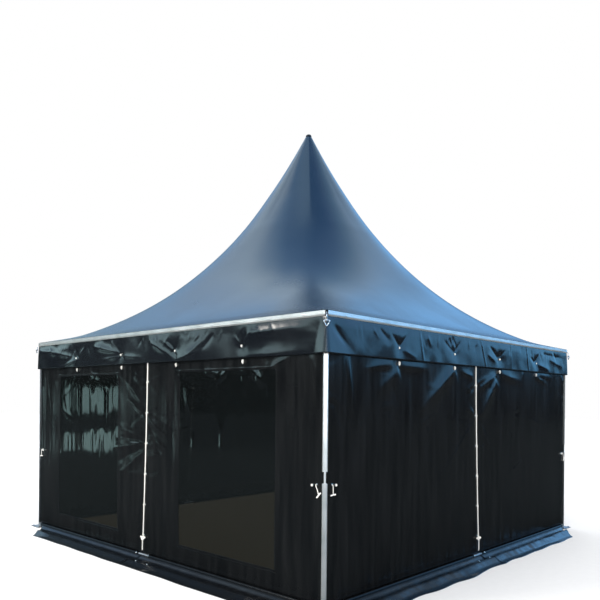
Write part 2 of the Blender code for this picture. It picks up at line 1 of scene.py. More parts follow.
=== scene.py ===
# %% [markdown]
# A pagoda tent, five metres square
#
# A pagoda tent is a square frame of aluminium rails on four legs. A short mast stands on two steel
# cables that cross under the roof, and pushes the middle of the roof skin up into a sharp peak. This
# lesson takes the bare frame of such a tent and gives it its cloth, its cords and its finishes.
# Everything is in metres, +Z is up and the origin is on the ground, at the centre of the base.

# %% Load the frame
import math
import random

import bmesh
import bpy
from mathutils import Matrix, Vector, noise


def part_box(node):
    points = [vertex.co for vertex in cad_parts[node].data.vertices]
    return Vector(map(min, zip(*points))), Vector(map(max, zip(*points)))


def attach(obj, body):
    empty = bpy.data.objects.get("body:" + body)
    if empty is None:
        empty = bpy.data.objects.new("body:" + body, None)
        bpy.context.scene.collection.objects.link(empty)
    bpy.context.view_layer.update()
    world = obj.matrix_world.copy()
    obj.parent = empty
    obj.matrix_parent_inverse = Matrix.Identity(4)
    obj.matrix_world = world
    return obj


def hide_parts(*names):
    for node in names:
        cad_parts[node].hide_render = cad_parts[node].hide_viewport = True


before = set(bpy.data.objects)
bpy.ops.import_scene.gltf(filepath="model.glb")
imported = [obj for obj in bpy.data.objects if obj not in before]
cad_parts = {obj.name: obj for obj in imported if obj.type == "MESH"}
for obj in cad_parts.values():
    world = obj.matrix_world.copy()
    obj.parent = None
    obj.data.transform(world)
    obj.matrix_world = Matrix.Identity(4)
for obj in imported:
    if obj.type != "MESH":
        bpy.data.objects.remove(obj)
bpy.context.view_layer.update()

# %% [markdown]
# The main sizes come from the frame itself, so that each new piece sits where the solids are. A place
# on a side is given by s, the distance along the wall to the right as seen from outside, b, the
# distance inwards from the side's plane, and z. The four sides are the front turned by a quarter each
# time.

# %% Read the main sizes from the frame
SIDES = ("front", "right", "back", "left")
CORNERS = ("front_right", "back_right", "back_left", "front_left")


def depth_of(node):
    """How far the middle of a front piece lies inside the side's plane."""
    low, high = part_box(node)
    return HALF + (low.y + high.y) / 2


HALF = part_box("eaves_rail_right")[1].x
RAIL_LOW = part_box("eaves_rail_front")[0].z
EAVES_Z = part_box("eaves_rail_front")[1].z
RAIL_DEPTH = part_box("eaves_rail_front")[1].y + HALF
RAIL_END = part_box("eaves_rail_front")[1].x
VALANCE_B = depth_of("valance_front")
VALANCE_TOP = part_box("valance_front")[1].z
HEM_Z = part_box("valance_front")[0].z
WALL_B = depth_of("window_front_right")
WALL_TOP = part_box("wall_front_right")[1].z
WALL_EDGE_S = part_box("wall_front_right")[1].x
WINDOW_LOW, WINDOW_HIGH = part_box("window_front_right")
ROD_LOW, ROD_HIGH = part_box("ground_rod_front")
ROD_Z = (ROD_LOW.z + ROD_HIGH.z) / 2
print("side", round(2 * HALF, 3), "eaves", round(EAVES_Z, 3), "wall inside by", round(WALL_B, 4))


# %% A place on one of the four sides
def on_side(quarter, s, b, z):
    """The world place of s, b and z on the side that is that many quarter turns from the front."""
    cosine, sine = ((1, 0), (0, 1), (-1, 0), (0, -1))[quarter]
    x, y = s, b - HALF
    return Vector((cosine * x - sine * y, sine * x + cosine * y, z))


def quarter_turn(quarter):
    return Matrix.Rotation(quarter * math.pi / 2, 4, "Z")


print("front right corner", [round(v, 3) for v in on_side(0, HALF, 0.0, 0.0)])

# %% [markdown]
# The camera stands a little right of the near corner at eye height, and looks level. A level camera
# keeps the legs upright, and the lens is shifted up to bring the peak in, as a photographer of
# buildings does it.

# %% Camera
def new_object(name, data):
    """An object in the scene."""
    made = bpy.data.objects.new(name, data)
    bpy.context.scene.collection.objects.link(made)
    return made


EYE = Vector((5.8135, -6.353, 1.688))
HEADING = math.radians(43.0)
LEAN = 0.0098
LENS = 38.74
SENSOR = 36.0
LENS_SHIFT_UP = 1 / 6

camera_data = bpy.data.cameras.new("camera")
camera_data.sensor_fit = "HORIZONTAL"
camera_data.sensor_width = SENSOR
camera_data.lens = LENS
camera_data.shift_y = LENS_SHIFT_UP
camera_data.clip_end = 500.0
camera = new_object("camera", camera_data)
camera.matrix_world = (
    Matrix.Translation(EYE)
    @ Matrix.Rotation(HEADING, 4, "Z")
    @ Matrix.Rotation(math.pi / 2, 4, "X")
    @ Matrix.Rotation(LEAN, 4, "Z")
)
bpy.context.scene.camera = camera
print("camera at", [round(v, 2) for v in EYE])

# %% [markdown]
# Three small helpers do most of the work on materials. One turns an sRGB hex colour, as read from a
# picture, into the linear numbers that a shader wants. One adds a node with its settings and its
# links. The third starts a material and hands out a place in metres, so that grain and ripple keep
# their real size.


# %% Helpers for materials
def linear(hex_colour):
    """The linear colour of an sRGB hex value such as #c0c4c8."""
    values = [int(hex_colour[i : i + 2], 16) / 255 for i in (1, 3, 5)]
    return (*(v / 12.92 if v <= 0.04045 else ((v + 0.055) / 1.055) ** 2.4 for v in values), 1.0)


def add_node(tree, kind, settings=None, links=None, stops=()):
    """Add a node. settings name its sockets or properties, links name the sockets that it is fed by, and
    stops are the places and colours of a ramp."""
    node = tree.nodes.new(kind)
    for key, value in (settings or {}).items():
        if isinstance(key, int) or key in node.inputs:
            node.inputs[key].default_value = value
        else:
            setattr(node, key, value)
    for key, source in (links or {}).items():
        tree.links.new(source, node.inputs[key])
    for _ in stops[2:]:
        node.color_ramp.elements.new(0.5)
    for number, (at, colour) in enumerate(stops):
        node.color_ramp.elements[number].position = at
        node.color_ramp.elements[number].color = colour
    return node


def new_material(name):
    """A material with its node tree, its shader and a place in metres for its patterns."""
    material = bpy.data.materials.new(name)
    material.use_nodes = True
    tree = material.node_tree
    place = add_node(tree, "ShaderNodeTexCoord").outputs["Object"]
    return material, tree, tree.nodes["Principled BSDF"], place


MM = 0.001
print("black wall cloth in linear numbers", [round(v, 4) for v in linear("#0b0d0f")])

# %% [markdown]
# A few helpers make pieces. A mesh becomes a piece of the tent with its finish and the frame nodes that
# it stands for. What is alike on all sides is made once, at the front, and carried round. A sheet is a
# grid of points that a rule puts in place.


# %% Helpers for pieces
def add_piece(name, mesh, finish, stands_for=()):
    """A piece that rides on the frame, shaded smooth with its sharp edges kept."""
    mesh.name = name
    mesh.materials.clear()
    mesh.materials.append(finish)
    mesh.shade_smooth()
    mesh.set_sharp_from_angle(angle=math.radians(40))
    piece = new_object(name, mesh)
    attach(piece, "root")
    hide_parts(*stands_for)
    return piece


def sheet_mesh(name, columns, rows, place, keep=None):
    """A grid of faces. place gives the point of a column and a row, and keep picks the cells to make."""
    points = [place(column, row) for row in rows for column in columns]
    width = len(columns)
    faces = []
    for j in range(len(rows) - 1):
        for i in range(width - 1):
            if keep and not keep((columns[i] + columns[i + 1]) / 2, (rows[j] + rows[j + 1]) / 2):
                continue
            corner = j * width + i
            faces.append((corner, corner + 1, corner + width + 1, corner + width))
    mesh = bpy.data.meshes.new(name)
    mesh.from_pydata(points, [], faces)
    return mesh


def joined_mesh(name, meshes):
    """Several meshes as one."""
    bm = bmesh.new()
    for mesh in meshes:
        bm.from_mesh(mesh)
        bpy.data.meshes.remove(mesh)
    loose = [vert for vert in bm.verts if not vert.link_faces]
    bmesh.ops.delete(bm, geom=loose, context="VERTS")
    joined = bpy.data.meshes.new(name)
    bm.to_mesh(joined)
    bm.free()
    return joined


def moved_mesh(mesh, matrix):
    """A copy of a mesh, moved."""
    copy = mesh.copy()
    copy.transform(matrix)
    return copy


def add_on_side(quarter, name, mesh, finish, stands_for=()):
    """A piece that is made at the front and carried round to another side."""
    return add_piece(name, moved_mesh(mesh, quarter_turn(quarter)), finish, stands_for)


def welded_mesh(mesh, distance, outward=False):
    """Join the points of a mesh that meet and, where it is asked, turn its faces outwards."""
    bm = bmesh.new()
    bm.from_mesh(mesh)
    bmesh.ops.remove_doubles(bm, verts=bm.verts, dist=distance)
    if outward:
        bmesh.ops.recalc_face_normals(bm, faces=bm.faces)
    bm.to_mesh(mesh)
    bm.free()
    return mesh


def thicken(piece, thickness):
    """Give a sheet its two faces."""
    solid = piece.modifiers.new("cloth thickness", "SOLIDIFY")
    solid.thickness = thickness
    solid.offset = 0.0


TOO_CLOSE = 0.2


def even_steps(start, end, step, extra=()):
    """Places from start to end about a step apart, with some extra ones put in. A plain place that comes
    too close after another is left out."""
    count = max(1, round((end - start) / step))
    places = {round(start + (end - start) * i / count, 5) for i in range(count + 1)}
    places |= {round(value, 5) for value in extra if start < value < end}
    fixed = {round(value, 5) for value in (start, end, *extra)}
    kept = []
    for value in sorted(places):
        if not kept or value in fixed or value - kept[-1] >= TOO_CLOSE * step:
            kept.append(value)
    return kept


print("steps", even_steps(0.0, 0.1, 0.03, extra=(0.05,)))


# %% Helpers for round cords, wires and bars
def tube_curve(name, points, radius, closed=False):
    """A curve of one straight-sided spline, round in section."""
    curve = bpy.data.curves.new(name, "CURVE")
    curve.dimensions = "3D"
    curve.bevel_depth = radius
    curve.bevel_resolution = 3
    curve.use_fill_caps = not closed
    spline = curve.splines.new("POLY")
    spline.points.add(len(points) - 1)
    for knot, point in zip(spline.points, points, strict=True):
        knot.co = (*point, 1.0)
    spline.use_cyclic_u = closed
    return curve


def mesh_of_curve(curve):
    """The surface of a curve, as a mesh."""
    holder = bpy.data.objects.new(curve.name, curve)
    mesh = bpy.data.meshes.new_from_object(holder)
    bpy.data.objects.remove(holder)
    bpy.data.curves.remove(curve)
    return mesh


def smooth_path(knots, steps):
    """Points on a smooth line through the knots."""
    knots = [Vector(knot) for knot in knots]
    ends = [2 * knots[0] - knots[1], *knots, 2 * knots[-1] - knots[-2]]
    points = []
    for i in range(1, len(ends) - 2):
        before, start, end, after = ends[i - 1 : i + 3]
        for step in range(steps):
            t = step / steps
            points.append(
                0.5
                * (
                    2 * start
                    + (end - before) * t
                    + (2 * before - 5 * start + 4 * end - after) * t**2
                    + (3 * start - before - 3 * end + after) * t**3
                )
            )
    return points + [knots[-1]]


def path_length(points):
    return sum((b - a).length for a, b in zip(points, points[1:], strict=False))


bent = smooth_path([(0, 0, 0), (0, 0.03, 0), (0, 0.04, -0.05)], 6)
print("a bent path", round(path_length(bent), 4), "m long")


# %% A helper for turned parts
def turned_mesh(name, profile, around=20, ring=False):
    """A profile of radius and height, turned about z. The profile of a ring is closed."""
    turns = [2 * math.pi * i / around for i in range(around)]
    points = [(r * math.cos(t), r * math.sin(t), z) for r, z in profile for t in turns]
    faces = []
    for band in range(len(profile) if ring else len(profile) - 1):
        low, high = band * around, (band + 1) % len(profile) * around
        for i in range(around):
            after = (i + 1) % around
            faces.append((low + i, low + after, high + after, high + i))
    mesh = bpy.data.meshes.new(name)
    mesh.from_pydata(points, [], faces)
    return welded_mesh(mesh, 0.01 * MM, outward=True)


print("a turned disc", len(turned_mesh("disc", [(0.0, 0.0), (0.01, 0.0)]).polygons), "faces")

# %% [markdown]
# White cord
#
# The cords on such a tent are braided polyester, about 7 mm thick. A braid scatters light in all
# directions, so it is matt and reads as white even in shade. The braid repeats every 4 mm. That is
# finer than a pixel of the whole view, so it is a shallow bump that only shows from close by.


# %% White braided polyester
def braided_polyester():
    """White, matt, with a diagonal braid."""
    material, tree, shader, place = new_material("braided polyester")
    braid_pitch = 4 * MM
    braid = add_node(
        tree,
        "ShaderNodeTexWave",
        {"bands_direction": "DIAGONAL", "Scale": 1 / (2 * braid_pitch), "Distortion": 1.5, "Detail": 1.0},
        {"Vector": place},
    )
    soil = add_node(tree, "ShaderNodeTexNoise", {"Scale": 9.0, "Detail": 3.0}, {"Vector": place})
    greys = ((0.0, linear("#dddbd4")), (1.0, linear("#f6f5f0")))
    tint = add_node(tree, "ShaderNodeValToRGB", links={"Fac": soil.outputs["Fac"]}, stops=greys)
    bump = add_node(
        tree, "ShaderNodeBump", {"Strength": 0.6, "Distance": 0.6 * MM}, {"Height": braid.outputs["Fac"]}
    )
    tree.links.new(tint.outputs["Color"], shader.inputs["Base Color"])
    tree.links.new(bump.outputs["Normal"], shader.inputs["Normal"])
    shader.inputs["Roughness"].default_value = 0.85
    return material


WHITE_CORD = braided_polyester()
print(WHITE_CORD.name)

# %% [markdown]
# Free cords
#
# The cords that hang free come first. Beside each leg, a metre up, a short cord with a toggle hangs out
# of an eyelet, ready to hook the panel to its neighbour.
# Its length is what the picture shows, about 90 mm. Below the knot of each lacing hang the two ends of
# the cord, about 120 mm long. The toggle is a bar turned from a profile, and a cord is a round curve
# through a few knots.

# %% Shape and plastic of a toggle
TOGGLE_BAR_LENGTH = 0.068
TOGGLE_BAR_RADIUS = 0.0065
TOGGLE_DOME_FROM = 0.85
TOGGLE_WAIST_DEPTH = 0.25
TOGGLE_WAIST_WIDTH = 0.18
UP_TO_ALONG_X = Matrix(((0, 0, 1, 0), (1, 0, 0, 0), (0, 1, 0, 0), (0, 0, 0, 1)))


def toggle_bar_mesh(tilt):
    """A toggle: a round bar with domed ends and a waist where the cord is tied."""
    profile = []
    for step in range(13):
        u = -1 + step / 6
        waist = 1 - TOGGLE_WAIST_DEPTH * math.exp(-((u / TOGGLE_WAIST_WIDTH) ** 2))
        past = max(0.0, abs(u) - TOGGLE_DOME_FROM) / (1 - TOGGLE_DOME_FROM)
        dome = math.sqrt(max(0.0, 1 - past**2))
        profile.append((TOGGLE_BAR_RADIUS * waist * dome, u * TOGGLE_BAR_LENGTH / 2))
    bar = turned_mesh("toggle_bar", profile, around=14)
    return moved_mesh(bar, Matrix.Rotation(tilt, 4, "Y") @ UP_TO_ALONG_X)


def moulded_plastic(name, hex_colour, roughness):
    """ABS: dense and smooth, with a fine eggshell texture from the mould."""
    material, tree, shader, place = new_material(name)
    grain = add_node(
        tree, "ShaderNodeTexNoise", {"Scale": 1 / (1.5 * MM), "Detail": 2.0}, {"Vector": place}
    )
    bump = add_node(
        tree, "ShaderNodeBump", {"Strength": 0.3, "Distance": 0.1 * MM}, {"Height": grain.outputs["Fac"]}
    )
    tree.links.new(bump.outputs["Normal"], shader.inputs["Normal"])
    shader.inputs["Base Color"].default_value = linear(hex_colour)
    shader.inputs["Roughness"].default_value = roughness
    shader.inputs["IOR"].default_value = 1.54
    return material


WHITE_ABS = moulded_plastic("white ABS", "#eceae4", 0.4)
print(WHITE_ABS.name, "toggles of", round(TOGGLE_BAR_LENGTH, 3), "m")

# %% Toggle cords
HANDS = {"left": -1, "right": 1}
TOGGLE_CORD_RADIUS = 0.0036
TOGGLE_EYELET_S = 2.389
TOGGLE_EYELET_Z = 1.012
TOGGLE_DROP = 0.082
TOGGLE_STANDS_OFF = 0.013
# how far a toggle swings towards the leg, and how far it tips
TOGGLE_SWING = {"left": -0.001, "right": 0.034}
TOGGLE_TIP = {"left": math.radians(4), "right": math.radians(46)}


def cord_piece(name, knots, steps, radius):
    """A free cord through the knots, and the points that it follows."""
    points = smooth_path(knots, steps)
    curve = tube_curve(name, points, radius)
    curve.materials.append(WHITE_CORD)
    cord = new_object(name, curve)
    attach(cord, "root")
    return cord, points


for quarter, side in enumerate(SIDES):
    for hand, sign in HANDS.items():
        swing = TOGGLE_SWING[hand]
        hang_b = WALL_B - TOGGLE_STANDS_OFF
        places = (
            (0.0, WALL_B - 0.002, 0.0),
            (0.001, hang_b + 0.003, 0.003),
            (0.25 * swing, hang_b, 0.020),
            (0.6 * swing, hang_b, 0.5 * TOGGLE_DROP),
            (swing, hang_b, TOGGLE_DROP),
        )
        knots = [
            on_side(quarter, sign * (TOGGLE_EYELET_S + aside), b, TOGGLE_EYELET_Z - down)
            for aside, b, down in places
        ]
        cord, points = cord_piece(f"toggle_cord_{side}_{hand}", knots, 6, TOGGLE_CORD_RADIUS)
        place = Matrix.Translation(points[-1]) @ quarter_turn(quarter)
        bar_mesh = moved_mesh(toggle_bar_mesh(-TOGGLE_TIP[hand]), place)
        bar = add_piece(f"toggle_bar_{side}_{hand}", bar_mesh, WHITE_ABS)
        tuple(points[0])
        path_length(points)
print("the last toggle cord is", round(path_length(points), 3), "m long")

# %% Loose ends of the lacings
# the lacing's lean at its top and foot, on the front and back and on the right and left
LEAN_TOP = (0.010, -0.028)
LEAN_FOOT = (-0.050, 0.066)
LEAN_FROM_Z = 2.05
LEAN_RUN = 1.90
LEAN_POWER = 1.4
LEAN_REACH = 0.42


def clamped(value, low=0.0, high=1.0):
    return max(low, min(high, value))


def leaning(kind, s, z):
    """The pull of the two panels on each other lets the lacing lean, and the cloth beside it follows.
    kind is 0 at the front and back, which have windows, and 1 on the plain sides."""
    down = clamped((LEAN_FROM_Z - z) / LEAN_RUN)
    lean = LEAN_TOP[kind] + (LEAN_FOOT[kind] - LEAN_TOP[kind]) * down**LEAN_POWER
    return s + lean * max(0.0, 1 - abs(s) / LEAN_REACH)


TAIL_RADIUS = 0.0034
TAIL_LENGTH = {"left": 0.120, "right": 0.1116}
KNOT_Z = 0.215
TAIL_TOP = KNOT_Z - 0.012
LACE_B = WALL_B - 0.0115

for quarter, side in enumerate(SIDES):
    for hand, sign in HANDS.items():
        drop = TAIL_LENGTH[hand]
        places = (
            (0.0036, LACE_B, TAIL_TOP),
            (0.0038, LACE_B + 0.0010, TAIL_TOP - 0.25 * drop),
            (0.0040, LACE_B + 0.0015, TAIL_TOP - 0.6 * drop),
            (0.0052, LACE_B + 0.0020, TAIL_TOP - drop),
        )
        knots = [on_side(quarter, leaning(quarter % 2, sign * s, z), b, z) for s, b, z in places]
        tail, points = cord_piece(f"lacing_tail_{side}_{hand}", knots, 8, TAIL_RADIUS)
        tuple(points[0])
        path_length(points)
print("lacing tails", TAIL_LENGTH, "m")

# %% [markdown]
# Coated cloth
#
# The black cloth is polyester scrim coated with soft PVC on both sides and lacquered. The lacquer is
# what the eye reads: the base is almost black, and nearly all the light that comes back is a soft
# mirror image of the sky, with a blue cast on the roof. On the roof the base colour itself is dark blue,
# a painted reflection of that sky. PVC has an IOR of about 1.53. The scrim has a thread every 1.1 mm,
# which is far finer than a pixel here, so the weave is drawn as a 9 mm grid and very faint. Dust makes
# broad patches duller. The foot of the walls is splashed with mud, so it mirrors less, and the flap
# that people tread on is dusty.


# %% Coated polyester cloth
# heights between which the flap ends, and the splashed foot of the wall ends
FLAP_TOP = (0.036, 0.048)
SPLASH_TOP = (0.056, 0.26)
TRODDEN_DUST = "#0b0d10"
TRODDEN_DULLER = 0.05
TRODDEN_SHINE = 0.60
SPLASHED_SHINE = 0.04
DRAWN_WEAVE = 9 * MM


def coated_cloth(name, hex_colour, roughness, shine, crinkle_mm, crinkle_size, detail, trodden=False):
    """PVC coated cloth with crinkles of a depth in mm and a size in metres each way. Cloth that is
    trodden on is dusty and splashed near the ground."""
    material, tree, shader, place = new_material(name)
    stretch = [1 / size for size in crinkle_size]
    sized = add_node(tree, "ShaderNodeMapping", {"Scale": stretch}, {"Vector": place})
    crinkle = add_node(
        tree,
        "ShaderNodeTexNoise",
        {"Scale": 1.0, "Detail": detail, "Roughness": 0.4, "Distortion": 0.5},
        {"Vector": sized.outputs["Vector"]},
    )
    weave = add_node(
        tree,
        "ShaderNodeTexBrick",
        {
            "Scale": 1 / DRAWN_WEAVE,
            "Mortar Size": 0.08,
            "Mortar Smooth": 1.0,
            "Brick Width": 1.0,
            "Row Height": 1.0,
            "offset": 0.0,
        },
        {"Vector": place},
    )
    crinkled = add_node(
        tree,
        "ShaderNodeBump",
        {"Strength": 1.0, "Distance": crinkle_mm * MM},
        {"Height": crinkle.outputs["Fac"]},
    )
    woven = add_node(
        tree,
        "ShaderNodeBump",
        {"Strength": 0.25, "Distance": 0.25 * MM},
        {"Height": weave.outputs["Fac"], "Normal": crinkled.outputs["Normal"]},
    )
    dust_at, dust_scale = (sized.outputs["Vector"], 0.9) if trodden else (place, 1.7)
    dust = add_node(tree, "ShaderNodeTexNoise", {"Scale": dust_scale, "Detail": 4.0}, {"Vector": dust_at})
    dulled = add_node(
        tree,
        "ShaderNodeMapRange",
        {"From Min": 0.35, "From Max": 0.75, "To Min": roughness, "To Max": roughness + 0.10},
        {"Value": dust.outputs["Fac"]},
    )
    dusty = [value * 1.25 + (0.0045 if trodden else 0.0015) for value in linear(hex_colour)[:3]]
    blacks = ((0.3, linear(hex_colour)), (0.8, (*dusty, 1.0)))
    shade = add_node(tree, "ShaderNodeValToRGB", links={"Fac": dust.outputs["Fac"]}, stops=blacks)
    colour, dullness = shade.outputs["Color"], dulled.outputs["Result"]
    if trodden:
        height = add_node(tree, "ShaderNodeSeparateXYZ", links={"Vector": place}).outputs["Z"]
        low = add_node(
            tree,
            "ShaderNodeMapRange",
            {"From Min": FLAP_TOP[1], "From Max": FLAP_TOP[0]},
            {"Value": height},
        )
        foot = add_node(
            tree, "ShaderNodeMixRGB", {2: linear(TRODDEN_DUST)}, {0: low.outputs["Result"], 1: colour}
        )
        duller = add_node(
            tree,
            "ShaderNodeMath",
            {"operation": "MULTIPLY_ADD", 1: TRODDEN_DULLER},
            {0: low.outputs["Result"], 2: dullness},
        )
        colour, dullness = foot.outputs["Color"], duller.outputs["Value"]
        splashed = add_node(
            tree,
            "ShaderNodeMapRange",
            {
                "From Min": SPLASH_TOP[0],
                "From Max": SPLASH_TOP[1],
                "To Min": SPLASHED_SHINE,
                "To Max": shine,
            },
            {"Value": height},
        )
        level = add_node(
            tree,
            "ShaderNodeMath",
            {"operation": "MULTIPLY_ADD", 1: TRODDEN_SHINE * shine},
            {0: low.outputs["Result"], 2: splashed.outputs["Result"]},
        )
        tree.links.new(level.outputs["Value"], shader.inputs["Specular IOR Level"])
    tree.links.new(colour, shader.inputs["Base Color"])
    tree.links.new(dullness, shader.inputs["Roughness"])
    tree.links.new(woven.outputs["Normal"], shader.inputs["Normal"])
    shader.inputs["IOR"].default_value = 1.53
    shader.inputs["Specular IOR Level"].default_value = shine
    return material


# the roof's dark blue base is a painted reflection of the blue sky; the wall cloth is near black
ROOF_CLOTH = coated_cloth("coated roof cloth", "#15222f", 0.19, 0.75, 0.8, (0.40, 0.40, 0.40), 1.0)
VALANCE_CLOTH = coated_cloth("coated valance cloth", "#0d1116", 0.11, 0.6, 1.0, (0.10, 0.10, 0.16), 2.0)
WALL_CLOTH = coated_cloth("coated wall cloth", "#0b0d0f", 0.12, 0.36, 0.7, (0.05, 0.05, 0.60), 2.0, True)
print(ROOF_CLOTH.name, VALANCE_CLOTH.name, WALL_CLOTH.name)

# %% [markdown]
# Roof skin
#
# The skin is one membrane, pulled down to the rails and pushed up by the mast. Its contours are square
# at the eaves and round near the peak, and its slope steepens all the way up. It is lofted ring by ring
# from that rule: each ring is a superellipse whose power falls from very large, a square, to two, a
# circle. Near the peak the four panels meet in a low ridge at each hip, where the welds stiffen the
# cloth.

# %% The rule of the roof's shape
ROOF_SLOT_B = 0.012
ROOF_LIFT = 0.005
APEX_RISE = 2.862
# the height is a steep power of the way left to the eaves mixed with a flat one
STEEP_SHARE = 0.583
STEEP_POWER = 3.18
FLAT_POWER = 1.23
HIP_SLACK = 0.037
RIPPLE_DEPTH = 0.004
ROOF_TOP_RADIUS = 0.036
RIDGE_FROM_Z = 3.82
RIDGE_RUN = 0.45
RIDGE_DEPTH = 0.075
RIDGE_WIDTH = math.radians(24)
ROOF_EDGE = HALF - ROOF_SLOT_B
ROOF_REACH = ROOF_EDGE * math.sqrt(2)


def ease(share):
    """A smooth step from 0 to 1."""
    share = clamped(share)
    return share * share * (3 - 2 * share)


def hip_height(radius):
    """Height of the skin on its hip, at that distance from the mast. Between its ends the hip sags."""
    left = 1 - radius / ROOF_REACH
    rise = STEEP_SHARE * left**STEEP_POWER + (1 - STEEP_SHARE) * left**FLAT_POWER
    slack = HIP_SLACK * ease((radius - 0.5) / 0.5) * ease((ROOF_REACH - radius) / 0.6)
    return EAVES_Z + ROOF_LIFT + APEX_RISE * rise - slack


def contour_radius(hip_radius, angle):
    """Distance of the contour from the mast in one direction."""
    power = max(0.0005, 0.5 * (1 - hip_radius / ROOF_REACH))
    large = max(abs(math.cos(angle)), abs(math.sin(angle)))
    small = min(abs(math.cos(angle)), abs(math.sin(angle)))
    across = hip_radius * 2**power / math.sqrt(2)
    return across / (large * (1 + (small / large) ** (1 / power)) ** power)


def roof_place(angle, hip_radius):
    """A point of the skin."""
    z = hip_height(hip_radius)
    from_middle = abs((angle + math.pi / 4) % (math.pi / 2) - math.pi / 4)
    from_hip = math.pi / 4 - from_middle
    ridge = RIDGE_DEPTH * clamped((z - RIDGE_FROM_Z) / RIDGE_RUN)
    pinch = 1 - ridge * (1 - math.exp(-from_hip / RIDGE_WIDTH))
    radius = contour_radius(hip_radius, angle) * pinch
    x, y = radius * math.cos(angle), radius * math.sin(angle)
    slack = min(1.0, (ROOF_REACH - hip_radius) / 0.5) * min(1.0, hip_radius / 0.6)
    ripple = RIPPLE_DEPTH * slack * noise.noise(Vector((1.3 * x, 1.3 * y, 0.8 * z)))
    return Vector((x, y, z + ripple))


print("apex", round(hip_height(ROOF_TOP_RADIUS), 3), "m")
print("1.9 m out on the hip, mid side is", round(contour_radius(1.9, 0.0), 3), "m out")

# %% Roof skin
ROOF_RINGS = 80
ROOF_STEPS = 38
CLOTH_THICKNESS = 0.0012
KEDER_DEPTH = 0.008
KEDER_RING = ROOF_REACH + 1.0

roof_angles = [
    math.atan2(-1 + 2 * step / ROOF_STEPS, 1.0) + quarter * math.pi / 2
    for quarter in range(4)
    for step in range(ROOF_STEPS)
]
roof_angles.append(roof_angles[0] + 2 * math.pi)
ring_radii = [
    ROOF_TOP_RADIUS + (ROOF_REACH - ROOF_TOP_RADIUS) * (1 - ring / ROOF_RINGS) ** 1.3
    for ring in range(ROOF_RINGS + 1)
]


def roof_or_keder(angle, hip_radius):
    """The skin. A ring past the eaves is the edge turned down into the rail's slot."""
    if hip_radius <= ROOF_REACH:
        return roof_place(angle, hip_radius)
    return roof_place(angle, ROOF_REACH) - Vector((0, 0, KEDER_DEPTH))


roof_mesh = sheet_mesh("roof_skin", roof_angles, [KEDER_RING, *ring_radii], roof_or_keder)
welded_mesh(roof_mesh, 0.1 * MM)
roof_area = sum(face.area for face in roof_mesh.polygons)
roof = add_piece("roof_skin", roof_mesh, ROOF_CLOTH, stands_for=["roof_canopy"])
thicken(roof, CLOTH_THICKNESS)
print("roof skin", len(roof_mesh.polygons), "faces,", round(roof_area, 2), "m2")

# %% [markdown]
# Eaves rails
#
# The rails are extruded aluminium, anodised. Extruding leaves very fine lines along the bar, and
# anodising turns the surface into a hard, satin, slightly grey skin, so highlights spread along the bar
# and stay soft. Each rail is its real section, with two shallow grooves in its face and a slot above
# and below for the cloth's beaded edges, drawn as a flat curve and given length. Its ends are then slid
# back on a slope, for the mitre.


# %% Anodised aluminium
def anodised_aluminium(name, direction):
    """Extruded and anodised aluminium. direction is the bar's own, x, y or z."""
    material, tree, shader, place = new_material(name)
    die_line, roughness = 2.5 * MM, 0.29
    stretch = [1 / die_line if axis != direction else 0.8 for axis in "xyz"]
    lines_place = add_node(tree, "ShaderNodeMapping", {"Scale": stretch}, {"Vector": place})
    lines = add_node(
        tree,
        "ShaderNodeTexNoise",
        {"Scale": 1.0, "Detail": 2.0},
        {"Vector": lines_place.outputs["Vector"]},
    )
    weather = add_node(tree, "ShaderNodeTexNoise", {"Scale": 6.0, "Detail": 5.0}, {"Vector": place})
    greys = ((0.3, linear("#d8dcdb")), (0.62, linear("#eef0f0")))
    tint = add_node(tree, "ShaderNodeValToRGB", links={"Fac": weather.outputs["Fac"]}, stops=greys)
    satin = add_node(
        tree,
        "ShaderNodeMapRange",
        {"To Min": roughness - 0.06, "To Max": roughness + 0.10},
        {"Value": lines.outputs["Fac"]},
    )
    bump = add_node(
        tree,
        "ShaderNodeBump",
        {"Strength": 0.25, "Distance": 0.15 * MM},
        {"Height": lines.outputs["Fac"]},
    )
    tree.links.new(tint.outputs["Color"], shader.inputs["Base Color"])
    tree.links.new(satin.outputs["Result"], shader.inputs["Roughness"])
    tree.links.new(bump.outputs["Normal"], shader.inputs["Normal"])
    shader.inputs["Metallic"].default_value = 0.86
    return material


ALUMINIUM_X = anodised_aluminium("anodised aluminium along x", "x")
ALUMINIUM_Y = anodised_aluminium("anodised aluminium along y", "y")
ALUMINIUM_Z = anodised_aluminium("anodised aluminium upright", "z")
print(ALUMINIUM_X.name, ALUMINIUM_Z.name)

# %% Section of the rail
RAIL_HEIGHT = EAVES_Z - RAIL_LOW
RAIL_WALL = 0.0035
CHAMBER_B = 0.0185
SLOT_HALF = 0.0023
SLOT_DEEP = 0.012
GROOVE_HALF = 0.0016
GROOVE_DEEP = 0.0016
GROOVE_HEIGHTS = (0.0175, 0.0335)
LIP_HEIGHT = 0.012
LIP_DEPTH = 0.0045


